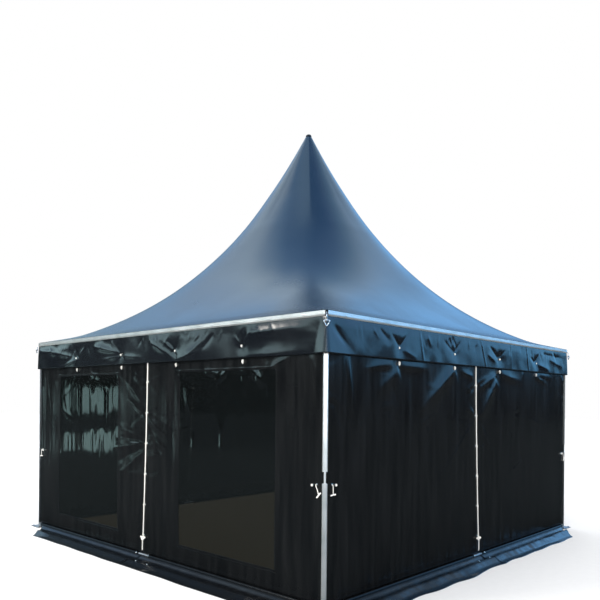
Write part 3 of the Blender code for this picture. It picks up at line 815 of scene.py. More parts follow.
def rail_section():
    """Outline and chamber of the rail: b, the distance inwards, and the height above the underside."""
    outline = [
        (0.0, LIP_HEIGHT),
        (LIP_DEPTH, 0.0),
        (VALANCE_B - SLOT_HALF, 0.0),
        (VALANCE_B - SLOT_HALF, SLOT_DEEP),
        (VALANCE_B + SLOT_HALF, SLOT_DEEP),
        (VALANCE_B + SLOT_HALF, 0.0),
        (RAIL_DEPTH, 0.0),
        (RAIL_DEPTH, RAIL_HEIGHT),
        (ROOF_SLOT_B + SLOT_HALF, RAIL_HEIGHT),
        (ROOF_SLOT_B + SLOT_HALF, RAIL_HEIGHT - SLOT_DEEP),
        (ROOF_SLOT_B - SLOT_HALF, RAIL_HEIGHT - SLOT_DEEP),
        (ROOF_SLOT_B - SLOT_HALF, RAIL_HEIGHT),
        (0.0, RAIL_HEIGHT),
    ]
    for height in reversed(GROOVE_HEIGHTS):
        outline += [
            (0.0, height + GROOVE_HALF),
            (GROOVE_DEEP, height + 0.5 * GROOVE_HALF),
            (GROOVE_DEEP, height - 0.5 * GROOVE_HALF),
            (0.0, height - GROOVE_HALF),
        ]
    near, far = CHAMBER_B, RAIL_DEPTH - RAIL_WALL
    low, high = RAIL_WALL, RAIL_HEIGHT - RAIL_WALL
    return [outline, [(near, low), (far, low), (far, high), (near, high)]]


def extruded_mesh(name, outlines, half_length):
    """A flat section, its holes included, given length both ways along Z."""
    curve = bpy.data.curves.new(name, "CURVE")
    curve.dimensions = "2D"
    curve.fill_mode = "BOTH"
    curve.extrude = half_length
    for outline in outlines:
        spline = curve.splines.new("POLY")
        spline.points.add(len(outline) - 1)
        for knot, (x, y) in zip(spline.points, outline, strict=True):
            knot.co = (x, y, 0.0, 1.0)
        spline.use_cyclic_u = True
    return welded_mesh(mesh_of_curve(curve), 0.02 * MM, outward=True)


def soften_edges(piece, width):
    """Round the edges of a metal piece a little, so that they catch the light."""
    bevel = piece.modifiers.new("broken edges", "BEVEL")
    bevel.width = width
    bevel.segments = 2
    bevel.limit_method = "ANGLE"
    bevel.angle_limit = math.radians(35)


# %% Rails with their screws
SCREW_S = 2.258
SCREW_HEAD_RADIUS = 0.009
SCREW_HEAD_HEIGHT = 0.005
FACING_OUT = Matrix.Rotation(math.pi / 2, 4, "X")
rail_mesh = extruded_mesh("rail", rail_section(), HALF)
for vert in rail_mesh.vertices:
    inward, height, along = vert.co
    vert.co = (math.copysign(RAIL_END - inward, along), inward - HALF, RAIL_LOW + height)


def dome_mesh(name, radius, height, rim=0.3, steps=6):
    """A low round head that stands on z = 0: a short rim, then a dome."""
    profile = [(radius, 0.0), (radius, rim * height)]
    for step in range(1, steps + 1):
        angle = math.pi / 2 * step / steps
        profile.append((radius * math.cos(angle), height * (rim + (1 - rim) * math.sin(angle))))
    return turned_mesh(name, profile)


head = dome_mesh("rail_screw", SCREW_HEAD_RADIUS, SCREW_HEAD_HEIGHT)
screw_z = RAIL_LOW + RAIL_HEIGHT / 2
heads = [
    moved_mesh(head, Matrix.Translation(on_side(0, sign * SCREW_S, 0.0, screw_z)) @ FACING_OUT)
    for sign in HANDS.values()
]
screws_mesh = joined_mesh("screws", heads)
for quarter, side in enumerate(SIDES):
    finish = ALUMINIUM_X if quarter % 2 == 0 else ALUMINIUM_Y
    rail = add_on_side(
        quarter, f"rail_{side}", rail_mesh, finish, [f"eaves_rail_{side}"]
    )
    soften_edges(rail, 0.0006)
    add_on_side(quarter, f"rail_screws_{side}", screws_mesh, finish)
print("rail", len(rail_mesh.polygons), "faces, from", round(RAIL_LOW, 3), "to", round(EAVES_Z, 3))

# %% [markdown]
# V rings
#
# Under each corner joint hangs a ring of bent steel bar, where a guy line could be hooked in. It is
# bright zinc, so it is a metal with a high, slightly broken mirror. The nickel plated eyelets further
# on have the same kind of skin, a little yellower. A bar bent to a rounded triangle is a closed curve,
# and its hook an open one.


# %% Zinc plated steel and nickel plated brass
def bright_plated(name, hex_colour, roughness):
    """Bright zinc or nickel on metal: nearly a mirror, with fine pits."""
    material, tree, shader, place = new_material(name)
    pits = add_node(tree, "ShaderNodeTexNoise", {"Scale": 1 / (3 * MM), "Detail": 3.0}, {"Vector": place})
    dull = add_node(
        tree,
        "ShaderNodeMapRange",
        {"To Min": roughness - 0.08, "To Max": roughness + 0.10},
        {"Value": pits.outputs["Fac"]},
    )
    bump = add_node(
        tree, "ShaderNodeBump", {"Strength": 0.4, "Distance": 0.1 * MM}, {"Height": pits.outputs["Fac"]}
    )
    tree.links.new(dull.outputs["Result"], shader.inputs["Roughness"])
    tree.links.new(bump.outputs["Normal"], shader.inputs["Normal"])
    shader.inputs["Base Color"].default_value = linear(hex_colour)
    shader.inputs["Metallic"].default_value = 1.0
    return material


ZINC = bright_plated("zinc plated steel", "#e2e3e2", 0.25)
BRASS = bright_plated("nickel plated brass", "#dedbd2", 0.22)
print(ZINC.name, BRASS.name)

# %% V rings on their hooks
RING_BAR = 0.0038
RING_HALF_WIDTH = 0.024
RING_TOP = 2.3165
RING_LOW = 2.2720
RING_OUT = 0.012
RING_BEND = 0.006
# the ring's corners: across, height, which way its middle lies, and the angle at which the bend starts
RING_CORNERS = (
    (0.0, RING_LOW, 1, -150),
    (RING_HALF_WIDTH, RING_TOP, -1, -30),
    (-RING_HALF_WIDTH, RING_TOP, -1, 90),
)
HOOK_BAR = 0.0035
# the hook's path: outwards, and height
HOOK_KNOTS = (
    (-0.026, 2.3650),
    (-0.010, 2.3655),
    (0.002, 2.3610),
    (0.006, 2.3480),
    (0.004, 2.3250),
    (0.007, 2.3105),
    (0.0135, 2.3078),
    (0.0195, 2.3130),
    (0.0200, 2.3220),
)


def at_corner(across, outward, z):
    """A place at the front right corner: across its diagonal, and outwards along it."""
    root2 = math.sqrt(2)
    return Vector((HALF + (outward + across) / root2, -HALF + (across - outward) / root2, z))


ring_knots = []
for across, z, inwards, start in RING_CORNERS:
    for step in range(6):
        angle = math.radians(start + 24 * step)
        turn_across = across * (1 - RING_BEND / RING_HALF_WIDTH) + RING_BEND * math.cos(angle)
        turn_z = z + RING_BEND * (inwards + math.sin(angle))
        ring_knots.append(at_corner(turn_across, RING_OUT, turn_z))
hook_path = smooth_path([at_corner(0, outward, z) for outward, z in HOOK_KNOTS], 5)
ring_and_hook = [
    mesh_of_curve(tube_curve("v_ring", ring_knots, RING_BAR, closed=True)),
    mesh_of_curve(tube_curve("ring_hook", hook_path, HOOK_BAR)),
]
hanger_mesh = joined_mesh("v_ring", ring_and_hook)
for quarter, corner in enumerate(CORNERS):
    add_on_side(quarter, f"v_ring_{corner}", hanger_mesh, ZINC)
print("V ring", round(2 * RING_HALF_WIDTH, 3), "m wide")

# %% [markdown]
# Folds in a hanging sheet
#
# Glossy cloth shows its shape only through what it mirrors, so small folds matter more than colour.
# Each sheet keeps a relief: a table that says, for each column and row, how far the cloth stands off
# its plane. Broad swells come from smooth noise, and sharp creases are drawn one by one, each deepest
# where it is pulled and dying out along its length. A table is simple to read, and a pane can share it
# with the sheet round it.


# %% Tools for the relief
def flat_relief(columns, rows):
    return [[0.0] * len(columns) for _ in rows]


def add_swell(relief, columns, rows, size, depth, seed):
    """Broad, smooth waves. size is their spacing along the wall and up."""
    for j, z in enumerate(rows):
        for i, s in enumerate(columns):
            relief[j][i] += depth * noise.noise(Vector((s / size[0], z / size[1], seed)))


CREASE_REACH = 3.5
CREASE_TAPER = 0.6
CREASE_EDGE = 1.4


def add_crease(relief, columns, rows, start, end, depth, width):
    """One fold from start to end, deepest near its start. A negative depth stands out of the wall. Only
    the places within its reach are worked out."""
    run_s, run_z = end[0] - start[0], end[1] - start[1]
    length = math.hypot(run_s, run_z)
    reach = CREASE_REACH * width
    low_s, high_s = min(start[0], end[0]) - reach, max(start[0], end[0]) + reach
    low_z, high_z = min(start[1], end[1]) - reach, max(start[1], end[1]) + reach
    near_columns = [i for i, s in enumerate(columns) if low_s < s < high_s]
    for j, z in enumerate(rows):
        if not low_z < z < high_z:
            continue
        for i in near_columns:
            ds, dz = columns[i] - start[0], z - start[1]
            along = (ds * run_s + dz * run_z) / length**2
            if 0 < along < 1:
                across = abs(ds * run_z - dz * run_s) / length
                taper = math.sin(math.pi * along**CREASE_TAPER)
                relief[j][i] += depth * taper * math.exp(-((across / width) ** CREASE_EDGE))


def add_fan(relief, columns, rows, centre, headings, lengths, depth, width, count, draw):
    """Folds that run out from where the cloth is pulled, every other one in and out."""
    for number in range(count):
        heading = math.radians(draw.uniform(*headings))
        length = draw.uniform(*lengths)
        end = (centre[0] + length * math.cos(heading), centre[1] + length * math.sin(heading))
        sign = -1 if number % 2 else 1
        strength = sign * depth * draw.uniform(0.5, 1.0)
        add_crease(relief, columns, rows, centre, end, strength, width * draw.uniform(0.7, 1.4))


few_columns, few_rows = (0.0, 0.1, 0.2), (0.0, 0.1)
few = flat_relief(few_columns, few_rows)
add_crease(few, few_columns, few_rows, (0.05, 0.1), (0.2, 0.1), 3 * MM, 20 * MM)
print("a crease 3 mm deep reads", [round(v, 4) for v in few[1]])

# %% [markdown]
# Valances
#
# A valance is a strip of the same cloth whose bead slides into the slot under the rail. It hides the
# top of the walls, is tied to them through eyelets every metre, and wraps round outside the legs at the
# corners, so its ends swing out there along a slanting fold. The strip is one grid: its columns run
# along the side and then round the corner to the diagonal, where it meets its neighbour.

# %% Shape of a valance
TIE_S = (-1.487, -0.497, 0.502, 1.494)
TIE_Z = 2.170
# how far the strip hangs out at its hem, as a share of the bead's depth
HANG_OUT = 1.1
CORNER_STEPS = 7
CORNER_OUT_AT_HEM = {1: 0.030, -1: 0.010}
CORNER_OUT_POWER = 0.8
CORNER_RADIUS = (0.005, 0.046)
# where the slanting fold to the corner starts, at the left and the right end
FOLD_AT_TOP = {-1: 2.440, 1: 2.425}
FOLD_AT_HEM = {-1: 2.200, 1: 2.363}
# welded seams, where each is at the top and at the hem, and how much the sections between them lean
VALANCE_SEAMS = (((0.048, 0.052),), ((-1.154, -1.095), (0.048, 0.165), (0.790, 0.805), (1.215, 1.278)))
SECTION_LEANS = ((0.000, 0.006), (0.020, 0.006, 0.016, 0.004, 0.012))
SEAM_HALF = 0.012
SEAM_RISE = 0.0026
# folds that are pulled by the ties or the corners, on the front and back and then on the right and left:
# start, end, depth and width, a negative depth stands out
VALANCE_FOLDS = (
    (
        ((-1.44, 2.160), (-1.92, 2.045), -0.0095, 0.038),
        ((-1.45, 2.180), (-1.385, 2.335), -0.0030, 0.013),
        ((-1.44, 2.190), (-1.250, 2.330), -0.0035, 0.014),
        ((-2.52, 2.300), (-1.66, 2.215), -0.0105, 0.062),
        ((-1.60, 2.190), (-2.12, 2.240), -0.0050, 0.030),
        ((-0.50, 2.150), (-0.95, 2.120), -0.0050, 0.028),
        ((-0.52, 2.190), (-1.10, 2.270), -0.0060, 0.030),
        ((-0.45, 2.150), (-0.05, 2.120), -0.0050, 0.026),
        ((-1.10, 2.290), (-0.56, 2.215), -0.0080, 0.050),
        ((0.50, 2.170), (0.28, 2.285), -0.0040, 0.016),
        ((0.08, 2.270), (0.50, 2.100), -0.0080, 0.040),
        ((0.54, 2.070), (1.06, 2.180), -0.0125, 0.080),
        ((0.70, 2.110), (1.08, 2.310), -0.0060, 0.042),
        ((1.10, 2.300), (0.90, 2.120), 0.0050, 0.030),
        ((1.50, 2.165), (1.39, 2.270), -0.0045, 0.017),
        ((1.51, 2.170), (1.62, 2.300), -0.0040, 0.016),
        ((1.56, 2.075), (2.40, 2.095), -0.0045, 0.045),
        ((1.56, 2.265), (2.34, 2.295), -0.0075, 0.070),
        ((2.10, 2.260), (2.46, 2.230), -0.0022, 0.050),
        ((1.76, 2.230), (2.10, 2.160), 0.0022, 0.040),
    ),
    (
        ((-2.46, 2.300), (-2.14, 2.060), 0.0085, 0.036),
        ((-1.496, 2.175), (-1.66, 2.325), 0.0048, 0.020),
        ((-1.496, 2.175), (-1.31, 2.345), 0.0052, 0.018),
        ((-1.80, 2.320), (-1.62, 2.190), 0.0070, 0.030),
        ((-1.46, 2.160), (-1.20, 2.080), -0.0040, 0.030),
        ((-0.52, 2.175), (-0.75, 2.310), 0.0044, 0.020),
        ((-0.52, 2.175), (-0.33, 2.345), 0.0036, 0.018),
        ((-0.60, 2.330), (-0.555, 2.200), 0.0045, 0.034),
        ((-1.02, 2.320), (-0.95, 2.200), -0.0040, 0.024),
        ((0.46, 2.175), (0.22, 2.320), 0.0070, 0.024),
        ((0.46, 2.175), (0.66, 2.290), 0.0040, 0.018),
        ((0.20, 2.210), (0.42, 2.130), -0.0050, 0.026),
        ((1.45, 2.175), (1.30, 2.250), 0.0045, 0.018),
        ((1.45, 2.175), (1.60, 2.310), 0.0060, 0.022),
        ((1.52, 2.160), (1.95, 2.100), -0.0050, 0.030),
        ((1.66, 2.300), (2.40, 2.270), 0.0045, 0.030),
        ((1.90, 2.240), (2.36, 2.160), -0.0045, 0.036),
    ),
)


def valance_corner(down, hand, kind):
    """At a share of the way down: how far the corner stands out of the side planes, its radius, and where
    the straight part of the strip ends."""
    out_at_hem = CORNER_OUT_AT_HEM[hand if kind == 0 else -hand]
    out = -VALANCE_B + (VALANCE_B + out_at_hem) * down**CORNER_OUT_POWER
    radius = CORNER_RADIUS[0] + (CORNER_RADIUS[1] - CORNER_RADIUS[0]) * down
    return out, radius, HALF + out - radius


def valance_depth(s, down, amount, kind):
    """Depth inwards of the strip's straight part at a place along the side."""
    hand = 1 if s > 0 else -1
    middle = VALANCE_B * (1 - HANG_OUT * down)
    fold = FOLD_AT_TOP[hand] + (FOLD_AT_HEM[hand] - FOLD_AT_TOP[hand]) * down
    out, _, end = valance_corner(down, hand, kind)
    past = clamped((abs(s) - fold) / max(0.02, end - fold))
    return middle + (-out - middle) * past + amount * (1 - past)


def valance_place(share, z, amount, kind):
    """A point of the strip. share runs from -1 to 1 along the straight part, and on round a corner."""
    down = (VALANCE_TOP - z) / (VALANCE_TOP - HEM_Z)
    out, radius, end = valance_corner(down, 1 if share > 0 else -1, kind)
    if abs(share) <= 1:
        s = share * end
        return on_side(0, s, valance_depth(s, down, amount, kind), z)
    angle = (abs(share) - 1) * math.pi / 4
    s = end + radius * math.sin(angle)
    return on_side(0, math.copysign(s, share), -out + radius * (1 - math.cos(angle)), z)


print("valance from", round(VALANCE_TOP, 4), "down to", round(HEM_Z, 3))


# %% Folds of a valance
TIE_DIMPLE = 0.006
TIE_DIMPLE_SIZE = 0.07
TIE_FAN_DEPTH = (0.0022, 0.0013)
VALANCE_GATHERS = 34
VALANCE_LIMITS = (-0.020, 0.0105)
NEAR_RAIL = 0.075


def seam_at(seam, z):
    """Where a leaning seam is, at a height."""
    top, hem = seam
    return top + (hem - top) * (VALANCE_TOP - z) / (VALANCE_TOP - HEM_Z)


def valance_relief(columns, rows, kind, seed):
    """Relief of one valance, over columns that are a share of half the side."""
    places = [share * HALF for share in columns]
    draw = random.Random(seed)
    relief = flat_relief(places, rows)
    add_swell(relief, places, rows, (0.50, 0.60), 0.0080, 10 + seed)
    add_swell(relief, places, rows, (0.15, 0.20), 0.0030, 20 + seed)
    for start, end, depth, width in VALANCE_FOLDS[kind]:
        add_crease(relief, places, rows, start, end, depth, width)
    # each tie pulls a dimple, with small folds above and below it
    for tie in TIE_S:
        for j, z in enumerate(rows):
            for i, s in enumerate(places):
                pull = ((s - tie) / TIE_DIMPLE_SIZE) ** 2 + ((z - TIE_Z) / TIE_DIMPLE_SIZE) ** 2
                relief[j][i] += TIE_DIMPLE * math.exp(-pull)
        spot, depth = (tie, TIE_Z), TIE_FAN_DEPTH[kind]
        add_fan(relief, places, rows, spot, (25, 155), (0.08, 0.20), depth, 0.012, 5, draw)
        add_fan(relief, places, rows, spot, (200, 340), (0.06, 0.11), 0.0018, 0.010, 4, draw)
    # gathers below the bead
    for _ in range(VALANCE_GATHERS):
        s = draw.uniform(-2.35, 2.35)
        lean = draw.uniform(-0.12, 0.12)
        top = VALANCE_TOP - draw.uniform(0.005, 0.04)
        low = top - draw.uniform(0.06, 0.18)
        depth = draw.choice((-1, 1)) * draw.uniform(0.0012, 0.0036)
        add_crease(relief, places, rows, (s, top), (s + lean, low), depth, draw.uniform(0.010, 0.020))
    # the rail holds the top straight, and the seams are a little thicker
    seams, leans = VALANCE_SEAMS[kind], SECTION_LEANS[kind]
    for j, z in enumerate(rows):
        near_rail = min(1.0, (VALANCE_TOP - z) / NEAR_RAIL)
        for i, s in enumerate(places):
            section = sum(s > seam_at(seam, z) for seam in seams)
            lean = leans[section] * (z - HEM_Z)
            welt = sum(math.exp(-(((s - seam_at(seam, z)) / SEAM_HALF) ** 4)) for seam in seams)
            folded = clamped(relief[j][i], *VALANCE_LIMITS)
            relief[j][i] = (folded - lean) * near_rail - SEAM_RISE * welt
    return relief


print("folds drawn on a valance:", [len(folds) for folds in VALANCE_FOLDS])

# %% Valances
valance_rows = even_steps(HEM_Z, VALANCE_TOP, 0.010)
corner_shares = [1 + step / CORNER_STEPS for step in range(1, CORNER_STEPS + 1)]
straight_shares = even_steps(-1.0, 1.0, 0.0044)
valance_columns = [-share for share in reversed(corner_shares)] + straight_shares + corner_shares


def valance_mesh(kind, seed):
    relief = valance_relief(valance_columns, valance_rows, kind, seed)
    row_at = {z: j for j, z in enumerate(valance_rows)}
    column_at = {share: i for i, share in enumerate(valance_columns)}

    def place(share, z):
        return valance_place(share, z, relief[row_at[z]][column_at[share]], kind)

    return sheet_mesh("valance", valance_columns, valance_rows, place)


valance_meshes = [valance_mesh(0, 3), valance_mesh(1, 8)]
for quarter, side in enumerate(SIDES):
    strip = valance_meshes[quarter % 2]
    name, node = f"valance_cloth_{side}", f"valance_{side}"
    valance = add_on_side(quarter, name, strip, VALANCE_CLOTH, [node])
    thicken(valance, CLOTH_THICKNESS)
print("valance", len(valance_meshes[0].polygons), "faces each")

# %% [markdown]
# Wall panels
#
# Each side is closed by two panels. A panel's outer edge runs in a track of the leg, its top is tied to
# the valance, its inner edge is laced to its neighbour, and a steel rod lies in a sleeve at its foot.
# Outside the sleeve a flap lies on the ground, rucked up into one long fold that is lower where the
# windows are. The sheet, the sleeve and the flap are three grids joined into one piece. The relief
# fades out at the leg, the lacing and the sleeve, which hold the cloth straight. Above 0.9 m the grid
# is finer, because most of the creases are there.

# %% Columns and rows of a panel
EDGE_S = 0.0006
SLEEVE_RADIUS = 0.0160
SHEET_BOTTOM = ROD_Z + SLEEVE_RADIUS - 0.0004
WINDOW_S = (abs(WINDOW_LOW.x), abs(WINDOW_HIGH.x))
WINDOW_Z = (WINDOW_LOW.z, WINDOW_HIGH.z)
BORDER = 0.028
WELD_STEP = 0.002
LACE_TOP_Z = 2.183
LACE_STEP = 0.323
LACE_ROWS = [LACE_TOP_Z - LACE_STEP * number for number in range(7)]
PLAIN_BELOW_Z = 0.90

border_s = [WINDOW_S[0] - BORDER, WINDOW_S[0], WINDOW_S[1], WINDOW_S[1] + BORDER]
border_z = [WINDOW_Z[0] - BORDER, WINDOW_Z[0], WINDOW_Z[1], WINDOW_Z[1] + BORDER]
column_extras = [*border_s, border_s[0] - WELD_STEP, border_s[3] + WELD_STEP]
row_extras = [*border_z, border_z[0] - WELD_STEP, border_z[3] + WELD_STEP]
panel_columns = even_steps(EDGE_S, WALL_EDGE_S, 0.017, extra=column_extras)
low_rows = even_steps(SHEET_BOTTOM, PLAIN_BELOW_Z, 0.031, extra=row_extras)
panel_rows = low_rows + even_steps(PLAIN_BELOW_Z, WALL_TOP, 0.021, extra=row_extras)[1:]
print("panel grid", len(panel_columns), "by", len(panel_rows))


# %% Folds of a panel
# folds that are pulled by the ties, the lacing and the window, by whether there is a window and by hand:
# start, end, depth and width
PANEL_FOLDS = {
    (True, 1): (
        ((2.31, 2.060), (2.41, 1.780), -0.0080, 0.022),
        ((0.00, 1.490), (0.40, 1.260), -0.0075, 0.026),
        ((0.02, 1.520), (0.46, 1.400), 0.0060, 0.026),
        ((0.02, 1.460), (0.30, 1.020), 0.0060, 0.024),
        ((0.05, 1.300), (0.42, 1.120), -0.0070, 0.026),
        ((0.02, 1.080), (0.34, 1.110), -0.0060, 0.022),
        ((0.96, 1.960), (1.20, 1.905), -0.0085, 0.022),
        ((1.30, 1.960), (1.10, 1.830), -0.0080, 0.022),
        ((1.62, 1.960), (1.78, 1.800), -0.0120, 0.034),
        ((1.84, 1.960), (2.16, 2.070), -0.0090, 0.030),
        ((0.640, 1.880), (0.735, 1.480), -0.0070, 0.022),
        ((1.200, 1.500), (1.212, 0.960), -0.0065, 0.022),
        ((0.520, 1.960), (0.528, 1.300), -0.0065, 0.020),
        ((0.780, 1.360), (0.800, 0.940), -0.0060, 0.020),
        ((1.480, 1.960), (1.540, 1.700), -0.0065, 0.020),
        ((1.802, 2.020), (1.812, 1.700), -0.0075, 0.022),
    ),
    (True, -1): (
        ((0.00, 1.260), (0.62, 1.400), -0.0080, 0.030),
        ((0.02, 1.230), (0.66, 1.260), 0.0065, 0.026),
        ((0.02, 1.210), (0.68, 1.140), -0.0080, 0.030),
        ((0.02, 1.180), (0.66, 0.960), 0.0065, 0.028),
        ((0.02, 1.140), (0.58, 0.820), -0.0075, 0.028),
        ((0.04, 0.860), (0.60, 0.860), -0.0050, 0.022),
        ((0.10, 1.650), (0.47, 1.940), -0.0065, 0.024),
        ((0.02, 1.500), (0.40, 1.700), -0.0060, 0.024),
        ((2.29, 2.060), (2.22, 1.600), -0.0060, 0.018),
        ((2.31, 1.950), (2.31, 0.550), 0.0065, 0.050),
        ((2.10, 1.980), (2.02, 1.820), -0.0050, 0.020),
        ((1.20, 1.990), (0.95, 1.930), -0.0050, 0.022),
        ((1.432, 1.980), (1.440, 1.300), 0.0060, 0.022),
        ((0.822, 1.800), (0.818, 1.300), 0.0050, 0.020),
        ((0.25, 1.960), (0.15, 1.860), -0.0065, 0.022),
    ),
    (False, 1): (
        ((0.44, 1.995), (0.03, 1.800), -0.0100, 0.036),
        ((0.45, 1.940), (0.06, 1.440), -0.0190, 0.070),
        ((0.56, 2.010), (1.14, 1.930), -0.0080, 0.050),
        ((1.46, 2.020), (1.94, 1.900), -0.0055, 0.024),
        ((1.54, 2.040), (2.06, 2.000), -0.0060, 0.036),
        ((1.15, 2.050), (1.10, 1.860), -0.0040, 0.016),
        ((0.10, 1.440), (0.42, 1.080), -0.0050, 0.026),
        ((1.20, 1.000), (0.30, 0.620), -0.0050, 0.030),
        ((2.33, 2.060), (2.43, 1.780), -0.0060, 0.018),
        ((0.645, 1.950), (0.663, 0.800), -0.0022, 0.012),
        ((1.846, 1.700), (1.850, 0.500), -0.0022, 0.012),
    ),
    (False, -1): (
        ((0.46, 2.030), (1.14, 1.560), -0.0200, 0.074),
        ((1.44, 2.010), (0.94, 2.000), -0.0080, 0.040),
        ((1.46, 1.970), (1.82, 1.740), -0.0090, 0.070),
        ((1.56, 2.020), (2.00, 1.960), -0.0070, 0.040),
        ((2.215, 2.075), (2.120, 1.500), -0.0100, 0.024),
        ((0.06, 1.950), (0.36, 2.010), -0.0060, 0.028),
        ((0.10, 1.800), (0.22, 1.825), -0.0045, 0.016),
        ((0.09, 1.430), (1.20, 0.560), -0.0055, 0.030),
        ((0.00, 0.480), (0.48, 0.260), -0.0040, 0.016),
        ((1.940, 1.980), (1.926, 0.800), -0.0024, 0.012),
        ((1.308, 1.900), (1.296, 1.000), -0.0024, 0.012),
        ((0.716, 1.760), (0.698, 0.700), -0.0024, 0.012),
    ),
}


print("folds drawn on the panels:", [len(folds) for folds in PANEL_FOLDS.values()])

# %% Relief of a panel
FOOT_BOW = 0.0065
FOOT_BOW_Z = 0.23
FOOT_BOW_HALF = 0.12
TIE_PULL_Z = 2.06
PANEL_LIMITS = (-0.0185, 0.0120)
BORDER_STANDS_OUT = 0.0008
# over what distance the lacing, the leg's track and the sleeve let go of the cloth
FREE_OF_LACING = 0.05
FREE_OF_TRACK = 0.035
FREE_OF_SLEEVE = 0.05
# behind the valance the folds are shallow
BEHIND_VALANCE_Z = 2.14
BEHIND_VALANCE_RUN = 0.12
BEHIND_VALANCE_SHARE = 0.25


def freedom(s, z):
    """How free the cloth is to fold, from 0 where it is held to 1."""
    of_sides = min(s / FREE_OF_LACING, (WALL_EDGE_S - s) / FREE_OF_TRACK)
    of_foot = (z - SHEET_BOTTOM) / FREE_OF_SLEEVE
    below_valance = max(0.0, BEHIND_VALANCE_Z - z) / BEHIND_VALANCE_RUN
    return max(0.0, min(1.0, of_sides, of_foot) * min(1.0, BEHIND_VALANCE_SHARE + below_valance))


def panel_relief(hand, has_window, seed):
    """Relief of one panel. s runs from the lacing to the leg, and hand is 1 for the right panel."""
    columns, rows = panel_columns, panel_rows
    draw = random.Random(seed)
    relief = flat_relief(columns, rows)
    add_swell(relief, columns, rows, (0.70, 1.60), 0.0060, 30 + seed)
    add_swell(relief, columns, rows, (0.19, 0.80), 0.0022, 40 + seed)
    add_swell(relief, columns, rows, (0.09, 0.40), 0.0009, 50 + seed)
    for j, z in enumerate(rows):
        bow = FOOT_BOW * math.exp(-(((z - FOOT_BOW_Z) / FOOT_BOW_HALF) ** 2))
        relief[j] = [amount + bow for amount in relief[j]]
    for start, end, depth, width in PANEL_FOLDS[has_window, hand]:
        add_crease(relief, columns, rows, start, end, depth, width)
    for z in LACE_ROWS:
        add_fan(relief, columns, rows, (0.0, z), (-50, 50), (0.10, 0.34), 0.0035, 0.015, 4, draw)
    for tie in TIE_S:
        if tie * hand > 0:
            spot = (abs(tie), TIE_PULL_Z)
            add_fan(relief, columns, rows, spot, (235, 305), (0.10, 0.30), 0.0022, 0.014, 5, draw)
    # long folds that hang down
    for _ in range(22):
        s, z = draw.uniform(0.30, 2.42), draw.uniform(0.9, 1.75)
        end = (s + draw.uniform(-0.04, 0.04), z - draw.uniform(0.25, 0.70))
        depth = draw.choice((-1, 1)) * draw.uniform(0.0015, 0.0036)
        add_crease(relief, columns, rows, (s, z), end, depth, draw.uniform(0.012, 0.020))
    # creases left from packing, upright and level
    for _ in range(26):
        s, z = draw.uniform(0.15, 2.35), draw.uniform(0.30, 2.00)
        heading = math.radians(draw.choice((draw.uniform(60, 120), draw.uniform(150, 210))))
        length = draw.uniform(0.10, 0.45)
        end = (s + length * math.cos(heading), z + length * math.sin(heading))
        depth = draw.choice((-1, 1)) * draw.uniform(0.0008, 0.0026)
        add_crease(relief, columns, rows, (s, z), end, depth, draw.uniform(0.008, 0.022))
    # short folds that rise from the sleeve
    for _ in range(30):
        s = draw.uniform(0.12, 2.38)
        top = SHEET_BOTTOM + draw.uniform(0.06, 0.26)
        end = (s + draw.uniform(-0.05, 0.05), top)
        depth = draw.choice((-1, 1)) * draw.uniform(0.0010, 0.0028)
        add_crease(relief, columns, rows, (s, SHEET_BOTTOM), end, depth, draw.uniform(0.008, 0.018))
    # puckers along the leg's track
    for _ in range(12):
        z = draw.uniform(0.25, 2.0)
        end = (WALL_EDGE_S - draw.uniform(0.06, 0.22), z + draw.uniform(-0.10, 0.10))
        add_crease(relief, columns, rows, (WALL_EDGE_S, z), end, draw.uniform(-0.003, 0.003), 0.014)
    if has_window:
        # the weld of the film pulls at its corners and gathers the cloth at its head
        for corner_s in WINDOW_S:
            for corner_z in WINDOW_Z:
                spot = (corner_s, corner_z)
                add_fan(relief, columns, rows, spot, (0, 360), (0.05, 0.16), 0.0025, 0.009, 6, draw)
        for _ in range(16):
            s = draw.uniform(*WINDOW_S)
            end = (s + draw.uniform(-0.04, 0.04), WINDOW_Z[1] - draw.uniform(0.06, 0.30))
            start = (s, WINDOW_Z[1] + 0.02)
            add_crease(relief, columns, rows, start, end, draw.uniform(-0.003, 0.003), 0.010)
    for j, z in enumerate(rows):
        for i, s in enumerate(columns):
            relief[j][i] = clamped(relief[j][i], *PANEL_LIMITS) * freedom(s, z)
            if has_window and border_s[0] <= s <= border_s[3] and border_z[0] <= z <= border_z[3]:
                relief[j][i] -= BORDER_STANDS_OUT
    return relief


def in_window(s, z):
    return WINDOW_S[0] < s < WINDOW_S[1] and WINDOW_Z[0] < z < WINDOW_Z[1]


def facing_out(mesh, hand):
    """The left panel is built as a mirror image, so its faces are turned over."""
    if hand < 0:
        mesh.flip_normals()
    return mesh


def relief_mesh(kind, hand, relief, keep, inward=0.0):
    """The cells of a panel that keep picks, as a sheet on the front side."""
    row_at = {z: j for j, z in enumerate(panel_rows)}
    column_at = {s: i for i, s in enumerate(panel_columns)}

    def place(s, z):
        depth = relief[row_at[z]][column_at[s]]
        return on_side(0, leaning(kind, hand * s, z), WALL_B + inward + depth, z)

    return facing_out(sheet_mesh("panel_sheet", panel_columns, panel_rows, place, keep), hand)


# %% Sleeve and flap of a panel
SLEEVE_ENDS = (0.088, 2.385)
SLEEVE_SIDES = 12
SLEEVE_STEP = 0.024
SLEEVE_GATHER = 0.0009
# section of the flap from the sleeve outwards: b and height. The fold's crest is where the eyelets are.
FLAP_CREST = (-0.152, 0.0490)
FLAP_KNOTS = (
    (0.0105, 0.0380),
    (-0.020, 0.0290),
    (-0.048, 0.0110),
    (-0.085, 0.0070),
    (-0.115, 0.0170),
    (-0.140, 0.0440),
    FLAP_CREST,
    (-0.168, 0.0450),
    (-0.235, 0.0080),
    (-0.262, 0.0030),
    (-0.300, 0.0020),
)
FLAP_RIDGE_B = -0.100
